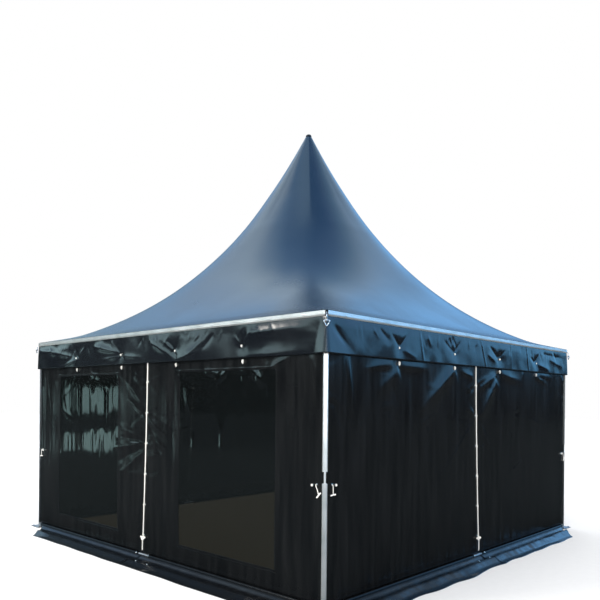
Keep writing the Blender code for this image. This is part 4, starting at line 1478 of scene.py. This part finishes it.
# share of the fold's height, waves of the edge and of the sheet: front and back, then right and left
FLAP_RIDGE = (0.42, 1.0)
FLAP_EDGE_WAVE = (0.014, 0.045)
FLAP_LIFT = (0.005, 0.009)
# where the flap ends beside the leg, at the sleeve and at its outer edge
FLAP_END_S = (2.335, 1.930)
FLAP_LOWEST = 0.0016
FLAP_ROWS = 22
FLAP_COLUMNS = 104


def sleeve_mesh(kind, hand, seed):
    """The pocket for the rod: a tube with small gathers where the cloth is welded."""
    turns = [math.radians(90 + 360 * step / SLEEVE_SIDES) for step in range(SLEEVE_SIDES + 1)]

    def place(s, angle):
        gather = SLEEVE_GATHER * noise.noise(Vector((s / 0.035, 2 * math.cos(angle), seed)))
        radius = SLEEVE_RADIUS + min(0.0005, gather)
        z = ROD_Z + radius * math.sin(angle)
        return on_side(0, leaning(kind, hand * s, z), WALL_B + radius * math.cos(angle), z)

    return facing_out(sheet_mesh("sleeve", even_steps(*SLEEVE_ENDS, SLEEVE_STEP), turns, place), hand)


def flap_mesh(kind, hand, seed):
    """The flap on the ground, cut slanting at its outer end."""
    knots = [(0.0, b, z * (FLAP_RIDGE[kind] if b < FLAP_RIDGE_B else 1.0)) for b, z in FLAP_KNOTS]
    section = smooth_path(knots, 8)
    total = path_length(section)

    def at_share(share):
        left = share * total
        for a, b in zip(section, section[1:], strict=False):
            step = (b - a).length
            if left <= step:
                return a.lerp(b, left / step)
            left -= step
        return section[-1]

    def waves(s, size, across):
        return noise.noise(Vector((s / size, across, seed)))

    def place(along, share):
        middle = at_share(share)
        end = FLAP_END_S[0] + share * (FLAP_END_S[1] - FLAP_END_S[0])
        s = EDGE_S + along * (end - EDGE_S)
        rumple = waves(s, 0.24, 2 * share) + 0.5 * waves(s, 0.07, 4 * share)
        lift = FLAP_LIFT[kind] * math.sin(math.pi * min(1.0, share * 1.05)) * rumple
        edge = FLAP_EDGE_WAVE[kind] * share**2 * waves(s, 0.45, 7.0)
        z = max(FLAP_LOWEST, middle.z + lift)
        return on_side(0, leaning(kind, hand * s, 0.0), middle.y + edge, z)

    columns = [step / FLAP_COLUMNS for step in range(FLAP_COLUMNS + 1)]
    rows = [step / FLAP_ROWS for step in range(FLAP_ROWS + 1)]
    return facing_out(sheet_mesh("flap", columns, rows, place), hand)


print("flap out to", FLAP_KNOTS[-1][0])

# %% Wall panels
panel_reliefs = {}
panel_meshes = {}
for has_window in (True, False):
    for sign in HANDS.values():
        seed = 2 + sign + 4 * has_window
        kind = 0 if has_window else 1
        keep = (lambda s, z: not in_window(s, z)) if has_window else None
        relief = panel_relief(sign, has_window, seed)
        sheet = relief_mesh(kind, sign, relief, keep)
        sheets = [sheet, sleeve_mesh(kind, sign, seed), flap_mesh(kind, sign, seed)]
        panel_reliefs[has_window, sign] = relief
        panel_meshes[has_window, sign] = joined_mesh("panel", sheets)

for quarter, side in enumerate(SIDES):
    has_window = quarter % 2 == 0
    for hand, sign in HANDS.items():
        name, node = f"wall_cloth_{side}_{hand}", f"wall_{side}_{hand}"
        sheets = panel_meshes[has_window, sign]
        panel = add_on_side(quarter, name, sheets, WALL_CLOTH, [node])
        thicken(panel, CLOTH_THICKNESS)
print("panel", len(panel_meshes[True, 1].polygons), "faces with a window")

# %% [markdown]
# Window film
#
# The windows are clear soft PVC, welded behind the cloth. Such film is slightly brown with age and
# mirrors like glass, but its mirror image is wavy, because the film is never flat. So it is
# see-through with a tint, which lets about a third of the light by, and has a sharp gloss on top that
# grows towards grazing views. The long waves come from the panel's own relief, and the short ripple,
# some 60 mm apart, from a bump.


# %% Clear PVC film
def clear_pvc_film():
    """See-through film: a tint for what passes, and a wavy gloss that grows towards grazing views."""
    material, tree, shader, place = new_material("clear PVC film")
    tree.nodes.remove(shader)
    stretched = add_node(tree, "ShaderNodeMapping", {"Scale": (1.0, 1.0, 0.25)}, {"Vector": place})
    ripple = add_node(
        tree,
        "ShaderNodeTexNoise",
        {"Scale": 1 / (60 * MM), "Detail": 2.0, "Distortion": 0.4},
        {"Vector": stretched.outputs["Vector"]},
    )
    bump = add_node(
        tree, "ShaderNodeBump", {"Strength": 1.0, "Distance": 0.8 * MM}, {"Height": ripple.outputs["Fac"]}
    )
    haze = add_node(tree, "ShaderNodeTexNoise", {"Scale": 3.0, "Detail": 4.0}, {"Vector": place})
    browns = ((0.0, linear("#8f8c82")), (1.0, linear("#a09d92")))
    tint = add_node(tree, "ShaderNodeValToRGB", links={"Fac": haze.outputs["Fac"]}, stops=browns)
    clear = add_node(tree, "ShaderNodeBsdfTransparent", links={"Color": tint.outputs["Color"]})
    dust = add_node(tree, "ShaderNodeBsdfDiffuse", {"Color": linear("#76868c")})
    through = add_node(
        tree, "ShaderNodeMixShader", {"Fac": 0.016}, {1: clear.outputs["BSDF"], 2: dust.outputs["BSDF"]}
    )
    gloss = add_node(
        tree,
        "ShaderNodeBsdfGlossy",
        {"Color": linear("#ffffff"), "Roughness": 0.06},
        {"Normal": bump.outputs["Normal"]},
    )
    grazing = add_node(tree, "ShaderNodeLayerWeight", {"Blend": 0.5}, {"Normal": bump.outputs["Normal"]})
    steep = add_node(
        tree, "ShaderNodeMath", {"operation": "POWER", 1: 5.0}, {0: grazing.outputs["Facing"]}
    )
    share = add_node(
        tree, "ShaderNodeMapRange", {"To Min": 0.06, "To Max": 1.0}, {"Value": steep.outputs["Value"]}
    )
    mix = add_node(
        tree,
        "ShaderNodeMixShader",
        links={"Fac": share.outputs["Result"], 1: through.outputs["Shader"], 2: gloss.outputs["BSDF"]},
    )
    tree.links.new(mix.outputs["Shader"], tree.nodes["Material Output"].inputs["Surface"])
    return material


CLEAR_FILM = clear_pvc_film()
print(CLEAR_FILM.name)

# %% Films of the windows
BEHIND_CLOTH = 0.0005
for quarter in (0, 2):
    side = SIDES[quarter]
    for hand, sign in HANDS.items():
        mesh = relief_mesh(0, sign, panel_reliefs[True, sign], in_window, inward=BEHIND_CLOTH)
        mesh = joined_mesh("film", [mesh])
        name, node = f"film_{side}_{hand}", f"window_{side}_{hand}"
        film = add_on_side(quarter, name, mesh, CLEAR_FILM, [node])
print("film", len(mesh.polygons), "faces each")

# %% [markdown]
# Lacing
#
# The two panels of a side are closed by a chain of cord loops. Each loop comes out through a pair of
# eyelets, runs down, and is held by the next loop, which comes out through its end. The last loop is
# tied off in a knot. Every loop is one closed path, so it can be swept as a tube.

# %% Loops of the lacing
STRAND_RADIUS = 0.0036
LACE_FACE = WALL_B - 0.0010
LACE_EYELET_S = 0.0165


def loop_knots(top, low):
    """Path of one loop: out of the left eyelet, down, round the next loop and up to the right eyelet."""
    face = LACE_FACE
    left = [
        (-LACE_EYELET_S, face + 0.004, top),
        (-LACE_EYELET_S + 0.001, face - 0.0045, top + 0.001),
        (-0.0095, face - 0.0068, top - 0.006),
        (-0.0046, face - 0.0060, top - 0.026),
        (-0.0040, face - 0.0046, (top + low) / 2),
        (-0.0042, face - 0.0046, low + 0.030),
        (-0.0085, face - 0.0046, low + 0.006),
        (-0.0060, face - 0.0050, low - 0.010),
    ]
    right = [(-s, b, z + 0.001) for s, b, z in reversed(left)]
    return left + [(0.0, face - 0.0052, low - 0.014)] + right


# the knot is a flat figure of three lobes, and its cord weaves in and out as it goes round
KNOT_LOBE = 0.019
KNOT_CORD = 0.0062
KNOT_WIDE = 0.95
KNOT_TALL = 0.42
KNOT_WEAVE = 0.0035
KNOT_STANDS_OFF = 0.0105
KNOT_STEPS = 72


def lacing_mesh(kind):
    """The loops of one lacing with the knot below them."""
    meshes = []
    for top, low in zip(LACE_ROWS, LACE_ROWS[1:], strict=False):
        knots = [on_side(0, leaning(kind, s, z), b, z) for s, b, z in loop_knots(top, low)]
        meshes.append(mesh_of_curve(tube_curve("lace_loop", smooth_path(knots, 5), STRAND_RADIUS)))
    points = []
    for step in range(KNOT_STEPS):
        angle = 2 * math.pi * step / KNOT_STEPS
        s = KNOT_LOBE * (math.sin(angle) + 1.5 * math.sin(2 * angle)) * KNOT_WIDE
        z = KNOT_LOBE * (math.cos(angle) - 1.5 * math.cos(2 * angle)) * KNOT_TALL
        b = LACE_FACE - KNOT_STANDS_OFF - KNOT_WEAVE * math.sin(3 * angle)
        points.append(on_side(0, leaning(kind, s, KNOT_Z), b, KNOT_Z + z))
    meshes.append(mesh_of_curve(tube_curve("lace_knot", points, KNOT_CORD, closed=True)))
    return joined_mesh("lacing", meshes)


lacing_meshes = [lacing_mesh(0), lacing_mesh(1)]
for quarter, side in enumerate(SIDES):
    lacing = lacing_meshes[quarter % 2]
    add_on_side(quarter, f"lacing_cord_{side}", lacing, WHITE_CORD, [f"lacing_{side}"])
print("lacing", len(LACE_ROWS) - 1, "loops of", LACE_STEP, "m")

# %% [markdown]
# Eyelets and ties
#
# Eyelets are pressed rings of nickel plated brass. A ring is a small rounded section turned about its
# axis. At each valance tie a short cord comes out of an eyelet and ends in a knot, and a second knot
# shows below the hem, where the same cord holds the wall.


# %% Shapes of an eyelet and a knot
EYELET_RADIUS = 0.0100
EYELET_SECTION = [
    (0.0050, -0.0012),
    (0.0050, 0.0008),
    (0.0060, 0.0019),
    (0.0078, 0.0021),
    (0.0094, 0.0014),
    (EYELET_RADIUS, 0.0002),
    (EYELET_RADIUS, -0.0012),
]
eyelet = turned_mesh("eyelet", EYELET_SECTION, ring=True)
KNOT_TURNS = 3.5
KNOT_POINTS = 45


def eyelet_at(s, b, z, tilt=0.0):
    """An eyelet on the front side that faces out of the wall, or upwards by a tilt."""
    spot = Matrix.Translation(on_side(0, s, b, z))
    return moved_mesh(eyelet, spot @ Matrix.Rotation(-tilt, 4, "X") @ FACING_OUT)


def knot_at(s, b, z, size, length):
    """A tight knot on the front side: a lumpy drop of cord turns."""
    centre = on_side(0, s, b, z)
    points = []
    for step in range(KNOT_POINTS + 1):
        t = step / KNOT_POINTS
        radius = 0.5 * size * math.sin(math.pi * min(1.0, 0.08 + 0.92 * t)) ** 0.6
        angle = 2 * math.pi * KNOT_TURNS * t
        x, y = radius * math.cos(angle), radius * math.sin(angle) - 0.3 * size
        points.append(centre + Vector((x, y, (0.5 - t) * length)))
    return mesh_of_curve(tube_curve("knot", points, 0.24 * size))


print("eyelet", 2 * EYELET_RADIUS, "m across")

# %% Eyelets and ties of each side
# places along the side of the eyelets in the sleeve and on the flap's crest
FOOT_EYELETS = (((-0.16, 0.06), (0.084, 0.285)), ((-0.03, 0.195), (-0.24, -0.013)))
TOGGLE_TIE_S = 2.349
TOGGLE_TIE_Z = 1.005
LOWER_TIE_Z = 2.026
VALANCE_FACE = 0.0135
SLEEVE_EYELET = (WALL_B - SLEEVE_RADIUS + 0.003, 0.046, math.radians(50))
CREST_EYELET_TILT = math.radians(75)


def eyelets_mesh(kind):
    """All eyelets of the front or of a plain side."""
    in_sleeve, on_flap = FOOT_EYELETS[kind]
    crest_z = FLAP_CREST[1] * FLAP_RIDGE[kind] + 0.005
    rings = [eyelet_at(tie, VALANCE_FACE, TIE_Z) for tie in TIE_S]
    rings += [eyelet_at(s, *SLEEVE_EYELET) for s in in_sleeve]
    rings += [eyelet_at(s, FLAP_CREST[0], crest_z, CREST_EYELET_TILT) for s in on_flap]
    for sign in HANDS.values():
        rings += [eyelet_at(leaning(kind, sign * LACE_EYELET_S, z), LACE_FACE, z) for z in LACE_ROWS]
        rings.append(eyelet_at(sign * TOGGLE_TIE_S, LACE_FACE - 0.001, TOGGLE_TIE_Z))
        rings.append(eyelet_at(sign * TOGGLE_EYELET_S, LACE_FACE, TOGGLE_EYELET_Z))
    return joined_mesh("eyelets", rings)


tie_knots = []
for tie in TIE_S:
    tie_knots.append(knot_at(tie, VALANCE_FACE - 0.003, TIE_Z - 0.004, 0.013, 0.020))
    tie_knots.append(knot_at(tie + 0.012, LACE_FACE - 0.007, LOWER_TIE_Z, 0.016, 0.036))
for sign in HANDS.values():
    tie_knots.append(knot_at(sign * TOGGLE_TIE_S, LACE_FACE - 0.006, TOGGLE_TIE_Z, 0.014, 0.018))
knots_mesh = joined_mesh("tie_knots", tie_knots)
eyelet_meshes = [eyelets_mesh(0), eyelets_mesh(1)]
for quarter, side in enumerate(SIDES):
    add_on_side(quarter, f"eyelets_{side}", eyelet_meshes[quarter % 2], BRASS)
    add_on_side(quarter, f"tie_knots_{side}", knots_mesh, WHITE_CORD)
print("ties at", TIE_S)

# %% [markdown]
# Finishes of the steel and the other solids
#
# Feet, brackets and rods are hot-dip galvanised: a dull grey metal whose zinc freezes in flat crystals,
# the spangle, some 8 mm across. Each crystal mirrors a little differently, so a cell pattern changes
# both colour and roughness. The cross cables are stranded wire, and the strands show as a slanting
# ripple along them.


# %% Hot-dip galvanised steel
def galvanised_steel():
    material, tree, shader, place = new_material("hot-dip galvanised steel")
    spangle_size = 8 * MM
    spangle = add_node(tree, "ShaderNodeTexVoronoi", {"Scale": 1 / spangle_size}, {"Vector": place})
    greys = ((0.0, linear("#85888b")), (1.0, linear("#b4b6b8")))
    grey = add_node(tree, "ShaderNodeValToRGB", links={"Fac": spangle.outputs["Color"]}, stops=greys)
    dull = add_node(
        tree, "ShaderNodeMapRange", {"To Min": 0.35, "To Max": 0.60}, {"Value": spangle.outputs["Color"]}
    )
    grain = add_node(
        tree, "ShaderNodeTexNoise", {"Scale": 1 / (4 * MM), "Detail": 3.0}, {"Vector": place}
    )
    bump = add_node(
        tree, "ShaderNodeBump", {"Strength": 0.3, "Distance": 0.2 * MM}, {"Height": grain.outputs["Fac"]}
    )
    tree.links.new(grey.outputs["Color"], shader.inputs["Base Color"])
    tree.links.new(dull.outputs["Result"], shader.inputs["Roughness"])
    tree.links.new(bump.outputs["Normal"], shader.inputs["Normal"])
    shader.inputs["Metallic"].default_value = 0.9
    return material


def stranded_wire():
    """Galvanised wire rope: strands of 2 mm laid on the slant."""
    material, tree, shader, place = new_material("stranded steel wire")
    strand = add_node(
        tree,
        "ShaderNodeTexWave",
        {"bands_direction": "DIAGONAL", "Scale": 1 / (6 * MM), "Distortion": 0.3},
        {"Vector": place},
    )
    bump = add_node(
        tree, "ShaderNodeBump", {"Strength": 0.8, "Distance": 0.8 * MM}, {"Height": strand.outputs["Fac"]}
    )
    # painted shade: the colour follows the strands' ripple, darker in the grooves between strands
    greys = ((0.0, linear("#4e5052")), (1.0, linear("#a6a8aa")))
    tint = add_node(tree, "ShaderNodeValToRGB", links={"Fac": strand.outputs["Fac"]}, stops=greys)
    tree.links.new(tint.outputs["Color"], shader.inputs["Base Color"])
    tree.links.new(bump.outputs["Normal"], shader.inputs["Normal"])
    shader.inputs["Metallic"].default_value = 1.0
    shader.inputs["Roughness"].default_value = 0.38
    return material


GALVANISED = galvanised_steel()
WIRE_ROPE = stranded_wire()
BLACK_CAP = moulded_plastic("black moulded cap", "#15171a", 0.38)
print(GALVANISED.name, WIRE_ROPE.name, BLACK_CAP.name)

# %% Finish the solids that stay
# finish of the nodes whose names start so, and how much their edges are rounded
FINISH_OF = {
    "leg_": (ALUMINIUM_Z, 0.0008),
    "foot_": (GALVANISED, 0.0012),
    "corner_bracket_": (GALVANISED, 0.0008),
    "ground_rod_": (GALVANISED, 0.0004),
    "mast_foot": (GALVANISED, 0.0015),
    "mast": (ALUMINIUM_Z, 0.0006),
    "cross_cable_": (WIRE_ROPE, 0.0),
    "peak_cap": (BLACK_CAP, 0.0012),
}
for name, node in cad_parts.items():
    known = [start for start in FINISH_OF if name.startswith(start)]
    if not known or node.hide_render:
        continue
    finish, rounding = FINISH_OF[max(known, key=len)]
    node.data.materials.clear()
    node.data.materials.append(finish)
    node.data.shade_smooth()
    node.data.set_sharp_from_angle(angle=math.radians(35))
    if rounding:
        soften_edges(node, rounding)
shown = [name for name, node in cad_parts.items() if not node.hide_render]
print("solids shown:", len(shown))

# %% [markdown]
# Ground anchors
#
# A steel peg with a domed head goes through each free corner of a foot plate. The head is turned from a
# profile.

# %% Peg heads on the feet
PLATE_TOP = 0.008
# from the corner, outwards being negative
PEG_PLACES = ((-0.022, -0.022), (-0.022, 0.130), (0.130, -0.022))
washer = dome_mesh("washer", 0.016, 0.003, rim=0.8)
peg_head = moved_mesh(dome_mesh("peg_head", 0.0115, 0.009), Matrix.Translation((0, 0, 0.0025)))
peg = joined_mesh("peg", [washer, peg_head])
pegs = joined_mesh(
    "pegs",
    [moved_mesh(peg, Matrix.Translation((HALF - a, b - HALF, PLATE_TOP))) for a, b in PEG_PLACES],
)
for quarter, corner in enumerate(CORNERS):
    add_on_side(quarter, f"foot_pegs_{corner}", pegs, GALVANISED)
print("pegs per foot", len(PEG_PLACES))

# %% [markdown]
# Floor, lights and sky
#
# The floor is plain and pale. Two softboxes light the tent, a strong key on the left and a weak fill on
# the right, and four small strips stand where the left window mirrors them. The rest is an even white
# sky. Glossy black cloth would mirror that white sky as grey, so what it mirrors is a sky of its own:
# blue overhead and on the right, greyer and hazier on the left, and dark below a ragged line, as trees
# are. Light paths keep the two apart. For the same reason the floor is painted dark where the cloth
# mirrors it, a painted reflection of dark ground. Seen through the window film, the floor is a dim
# brown glow, painted light for the shaded ground inside, and the sky is a dim grey, painted shade for
# the dark inside of the tent.


# %% Floor
def pale_floor():
    """Matt pale paint. In mirror images it is painted dark, a painted reflection of dark ground that
    keeps the walls black. Seen through the film it is a dim brown painted glow.
    """
    material, tree, shader, place = new_material("matt pale floor")
    speck = add_node(tree, "ShaderNodeTexNoise", {"Scale": 14.0, "Detail": 5.0}, {"Vector": place})
    pales = ((0.0, linear("#f0f0ef")), (1.0, linear("#f7f7f6")))
    tint = add_node(tree, "ShaderNodeValToRGB", links={"Fac": speck.outputs["Fac"]}, stops=pales)
    tree.links.new(tint.outputs["Color"], shader.inputs["Base Color"])
    shader.inputs["Roughness"].default_value = 0.9
    shader.inputs["Specular IOR Level"].default_value = 0.1
    # painted reflection: to glossy rays the floor is dark ground, not its pale paint
    dark = add_node(tree, "ShaderNodeBsdfDiffuse", {"Color": linear("#343b3d")})
    # painted glow: seen through the window film the floor shines a dim brown, for the shaded ground
    # inside the tent
    inside = add_node(tree, "ShaderNodeEmission", {"Color": linear("#3f3c34"), "Strength": 1.0})
    path = add_node(tree, "ShaderNodeLightPath")
    past_film = add_node(
        tree, "ShaderNodeMath", {"operation": "MINIMUM", 1: 1.0}, {0: path.outputs["Transparent Depth"]}
    )
    mirrored = add_node(
        tree,
        "ShaderNodeMixShader",
        links={"Fac": path.outputs["Is Glossy Ray"], 1: shader.outputs["BSDF"], 2: dark.outputs["BSDF"]},
    )
    mix = add_node(
        tree,
        "ShaderNodeMixShader",
        links={
            "Fac": past_film.outputs["Value"],
            1: mirrored.outputs["Shader"],
            2: inside.outputs["Emission"],
        },
    )
    tree.links.new(mix.outputs["Shader"], tree.nodes["Material Output"].inputs["Surface"])
    return material


FLOOR_ENDS = (-60.0, 60.0)
floor_mesh = sheet_mesh("floor", FLOOR_ENDS, FLOOR_ENDS, lambda x, y: Vector((x, y, 0.0)))
floor_mesh.materials.append(pale_floor())
floor = new_object("floor", floor_mesh)
print("floor", 2 * FLOOR_ENDS[1], "m")


# %% Softboxes and strips
def softbox(name, place, target, size, watts, hex_colour):
    """An evenly bright rectangle of light that faces its target."""
    light = bpy.data.lights.new(name, "AREA")
    light.shape = "RECTANGLE"
    light.size, light.size_y = size
    light.energy = watts
    light.color = linear(hex_colour)[:3]
    holder = new_object(name, light)
    holder.location = place
    holder.rotation_euler = (Vector(target) - Vector(place)).to_track_quat("-Z", "Y").to_euler()


TENT_MIDDLE = (0.0, 0.0, 1.5)
softbox("key", (-7.0, -14.0, 11.0), TENT_MIDDLE, (7.0, 7.0), 2100.0, "#fff8ee")
softbox("fill", (10.0, -11.0, 3.4), TENT_MIDDLE, (5.0, 5.0), 280.0, "#fffdf8")
# the strips that the left window mirrors: their middle and width, height and size upwards, and power
STRIPS = (
    ("high", (-13.23, -9.56), 1.49, 1.61, 0.80, 5.00),
    ("low", (-13.23, -9.56), 1.49, 0.30, 0.56, 3.90),
    ("dim high", (-13.73, -8.67), 0.56, 1.61, 0.80, 0.34),
    ("dim low", (-13.73, -8.67), 0.56, 0.30, 0.56, 0.14),
)
STRIP_TARGET = (-1.3, -2.4)
for name, (x, y), width, z, tall, watts in STRIPS:
    softbox(f"{name} strip", (x, y, z), (*STRIP_TARGET, z), (width, tall), watts, "#d1ffff")
print("two softboxes and", len(STRIPS), "strips that the left window mirrors")


# %% Colours of the mirrored sky
# by height, from the horizon to straight up, and linear, because a bright sky goes past what hex can say
RIGHT_SKY = [
    (0.00, (0.015, 0.020, 0.026)),
    (0.06, (0.020, 0.035, 0.055)),
    (0.105, (0.33, 1.02, 1.80)),
    (0.30, (0.38, 1.00, 1.90)),
    (0.36, (0.60, 1.55, 2.95)),
    (0.40, (0.68, 1.68, 3.10)),
    (0.43, (0.60, 1.42, 2.60)),
    (0.48, (0.54, 1.20, 2.14)),
    (0.53, (0.48, 0.99, 1.72)),
    (0.58, (0.64, 1.08, 1.68)),
    (0.63, (0.68, 1.00, 1.40)),
    (0.69, (0.53, 0.80, 1.13)),
    (0.74, (0.33, 0.64, 1.02)),
    (0.80, (0.27, 0.54, 0.94)),
    (0.88, (0.16, 0.37, 0.80)),
    (0.95, (0.06, 0.25, 0.66)),
]
LEFT_SKY = [
    (0.00, (0.010, 0.014, 0.012)),
    (0.150, (0.020, 0.028, 0.026)),
    (0.180, (1.40, 2.05, 2.15)),
    (0.225, (1.10, 1.60, 1.75)),
    (0.27, (0.50, 0.75, 0.90)),
    (0.38, (0.42, 0.68, 0.95)),
    (0.48, (0.46, 0.84, 1.38)),
    (0.55, (0.60, 0.90, 1.30)),
    (0.60, (0.75, 1.02, 1.42)),
    (0.63, (0.92, 1.25, 1.66)),
    (0.67, (1.27, 1.60, 1.84)),
    (0.71, (1.10, 1.38, 1.60)),
    (0.75, (0.72, 0.98, 1.33)),
    (0.79, (0.40, 0.70, 1.12)),
    (0.83, (0.27, 0.56, 1.02)),
    (0.90, (0.19, 0.43, 0.88)),
]
HAZE = (0.50, 0.86, 1.32, 1.0)
TREE_TOPS = (0.13, 0.20, 0.32, 1.0)
print("sky with", len(RIGHT_SKY) + len(LEFT_SKY), "stops")

# %% Mirrored sky
world = bpy.data.worlds.new("sky")
bpy.context.scene.world = world
world.use_nodes = True
sky = world.node_tree
sky.nodes.clear()
direction = add_node(sky, "ShaderNodeTexCoord").outputs["Generated"]
axes = add_node(sky, "ShaderNodeSeparateXYZ", links={"Vector": direction})
SKYLINE_ROUGH = 0.05
# level directions, to the right and away as seen in the picture
RIGHTWARD = (0.766, 0.643, 0.0)
BEHIND = (-0.643, 0.766, 0.0)
trees = add_node(sky, "ShaderNodeTexNoise", {"Scale": 9.0, "Detail": 2.0}, {"Vector": direction})
skyline = add_node(
    sky,
    "ShaderNodeMapRange",
    {"From Min": 0.2, "From Max": 0.8, "To Min": SKYLINE_ROUGH, "To Max": -SKYLINE_ROUGH},
    {"Value": trees.outputs["Fac"]},
)
above = add_node(
    sky, "ShaderNodeMath", {"operation": "ADD"}, {0: axes.outputs["Z"], 1: skyline.outputs["Result"]}
).outputs["Value"]
right_sky, left_sky = (
    add_node(
        sky,
        "ShaderNodeValToRGB",
        links={"Fac": above},
        stops=[(at, (*colour, 1.0)) for at, colour in heights],
    ).outputs["Color"]
    for heights in (RIGHT_SKY, LEFT_SKY)
)
toward_right, toward_behind = (
    add_node(
        sky, "ShaderNodeVectorMath", {"operation": "DOT_PRODUCT", 1: heading}, {0: direction}
    ).outputs["Value"]
    for heading in (RIGHTWARD, BEHIND)
)
blend = add_node(
    sky, "ShaderNodeMapRange", {"From Min": -0.12, "From Max": 0.12}, {"Value": toward_right}
)
overhead = add_node(
    sky, "ShaderNodeMapRange", {"From Min": 0.78, "From Max": 0.86}, {"Value": axes.outputs["Z"]}
)
nearer = add_node(
    sky,
    "ShaderNodeMapRange",
    {"From Min": 0.16, "From Max": 0.06, "To Max": 0.9},
    {"Value": toward_behind},
)
haze = add_node(
    sky,
    "ShaderNodeMath",
    {"operation": "MULTIPLY"},
    {0: overhead.outputs["Result"], 1: nearer.outputs["Result"]},
)
hazy_sky = add_node(
    sky, "ShaderNodeMixRGB", {2: HAZE}, {0: haze.outputs["Value"], 1: left_sky}
).outputs["Color"]
open_sky = add_node(
    sky, "ShaderNodeMixRGB", links={0: blend.outputs["Result"], 1: hazy_sky, 2: right_sky}
).outputs["Color"]
tree_tops = add_node(
    sky, "ShaderNodeMapRange", {"From Min": 0.80, "From Max": 0.95}, {"Value": toward_behind}
)
mirrored = add_node(
    sky, "ShaderNodeMixRGB", {2: TREE_TOPS}, {0: tree_tops.outputs["Result"], 1: open_sky}
)
print("the mirrored sky has", len(sky.nodes), "nodes")

# %% Which sky is seen by which rays
path = add_node(sky, "ShaderNodeLightPath")
even_white = add_node(sky, "ShaderNodeBackground", {"Color": linear("#fbfcff"), "Strength": 1.40})
mirrored_sky = add_node(
    sky, "ShaderNodeBackground", {"Strength": 1.0}, {"Color": mirrored.outputs["Color"]}
)
backdrop = add_node(sky, "ShaderNodeBackground", {"Color": linear("#ffffff"), "Strength": 1.0})
# painted shade: seen through the window film the backdrop is a dim grey, for the dark inside of the tent
dim = add_node(sky, "ShaderNodeBackground", {"Color": linear("#1c2020"), "Strength": 1.0})
lit = add_node(
    sky,
    "ShaderNodeMixShader",
    links={
        "Fac": path.outputs["Is Glossy Ray"],
        1: even_white.outputs["Background"],
        2: mirrored_sky.outputs["Background"],
    },
)
past_film = add_node(
    sky, "ShaderNodeMath", {"operation": "MINIMUM", 1: 1.0}, {0: path.outputs["Transparent Depth"]}
)
behind_film = add_node(
    sky,
    "ShaderNodeMixShader",
    links={
        "Fac": past_film.outputs["Value"],
        1: backdrop.outputs["Background"],
        2: dim.outputs["Background"],
    },
)
seen = add_node(
    sky,
    "ShaderNodeMixShader",
    links={
        "Fac": path.outputs["Is Camera Ray"],
        1: lit.outputs["Shader"],
        2: behind_film.outputs["Shader"],
    },
)
add_node(sky, "ShaderNodeOutputWorld", links={"Surface": seen.outputs["Shader"]})
bpy.context.scene.view_settings.view_transform = "Standard"
print("sky", len(sky.nodes), "nodes in all")
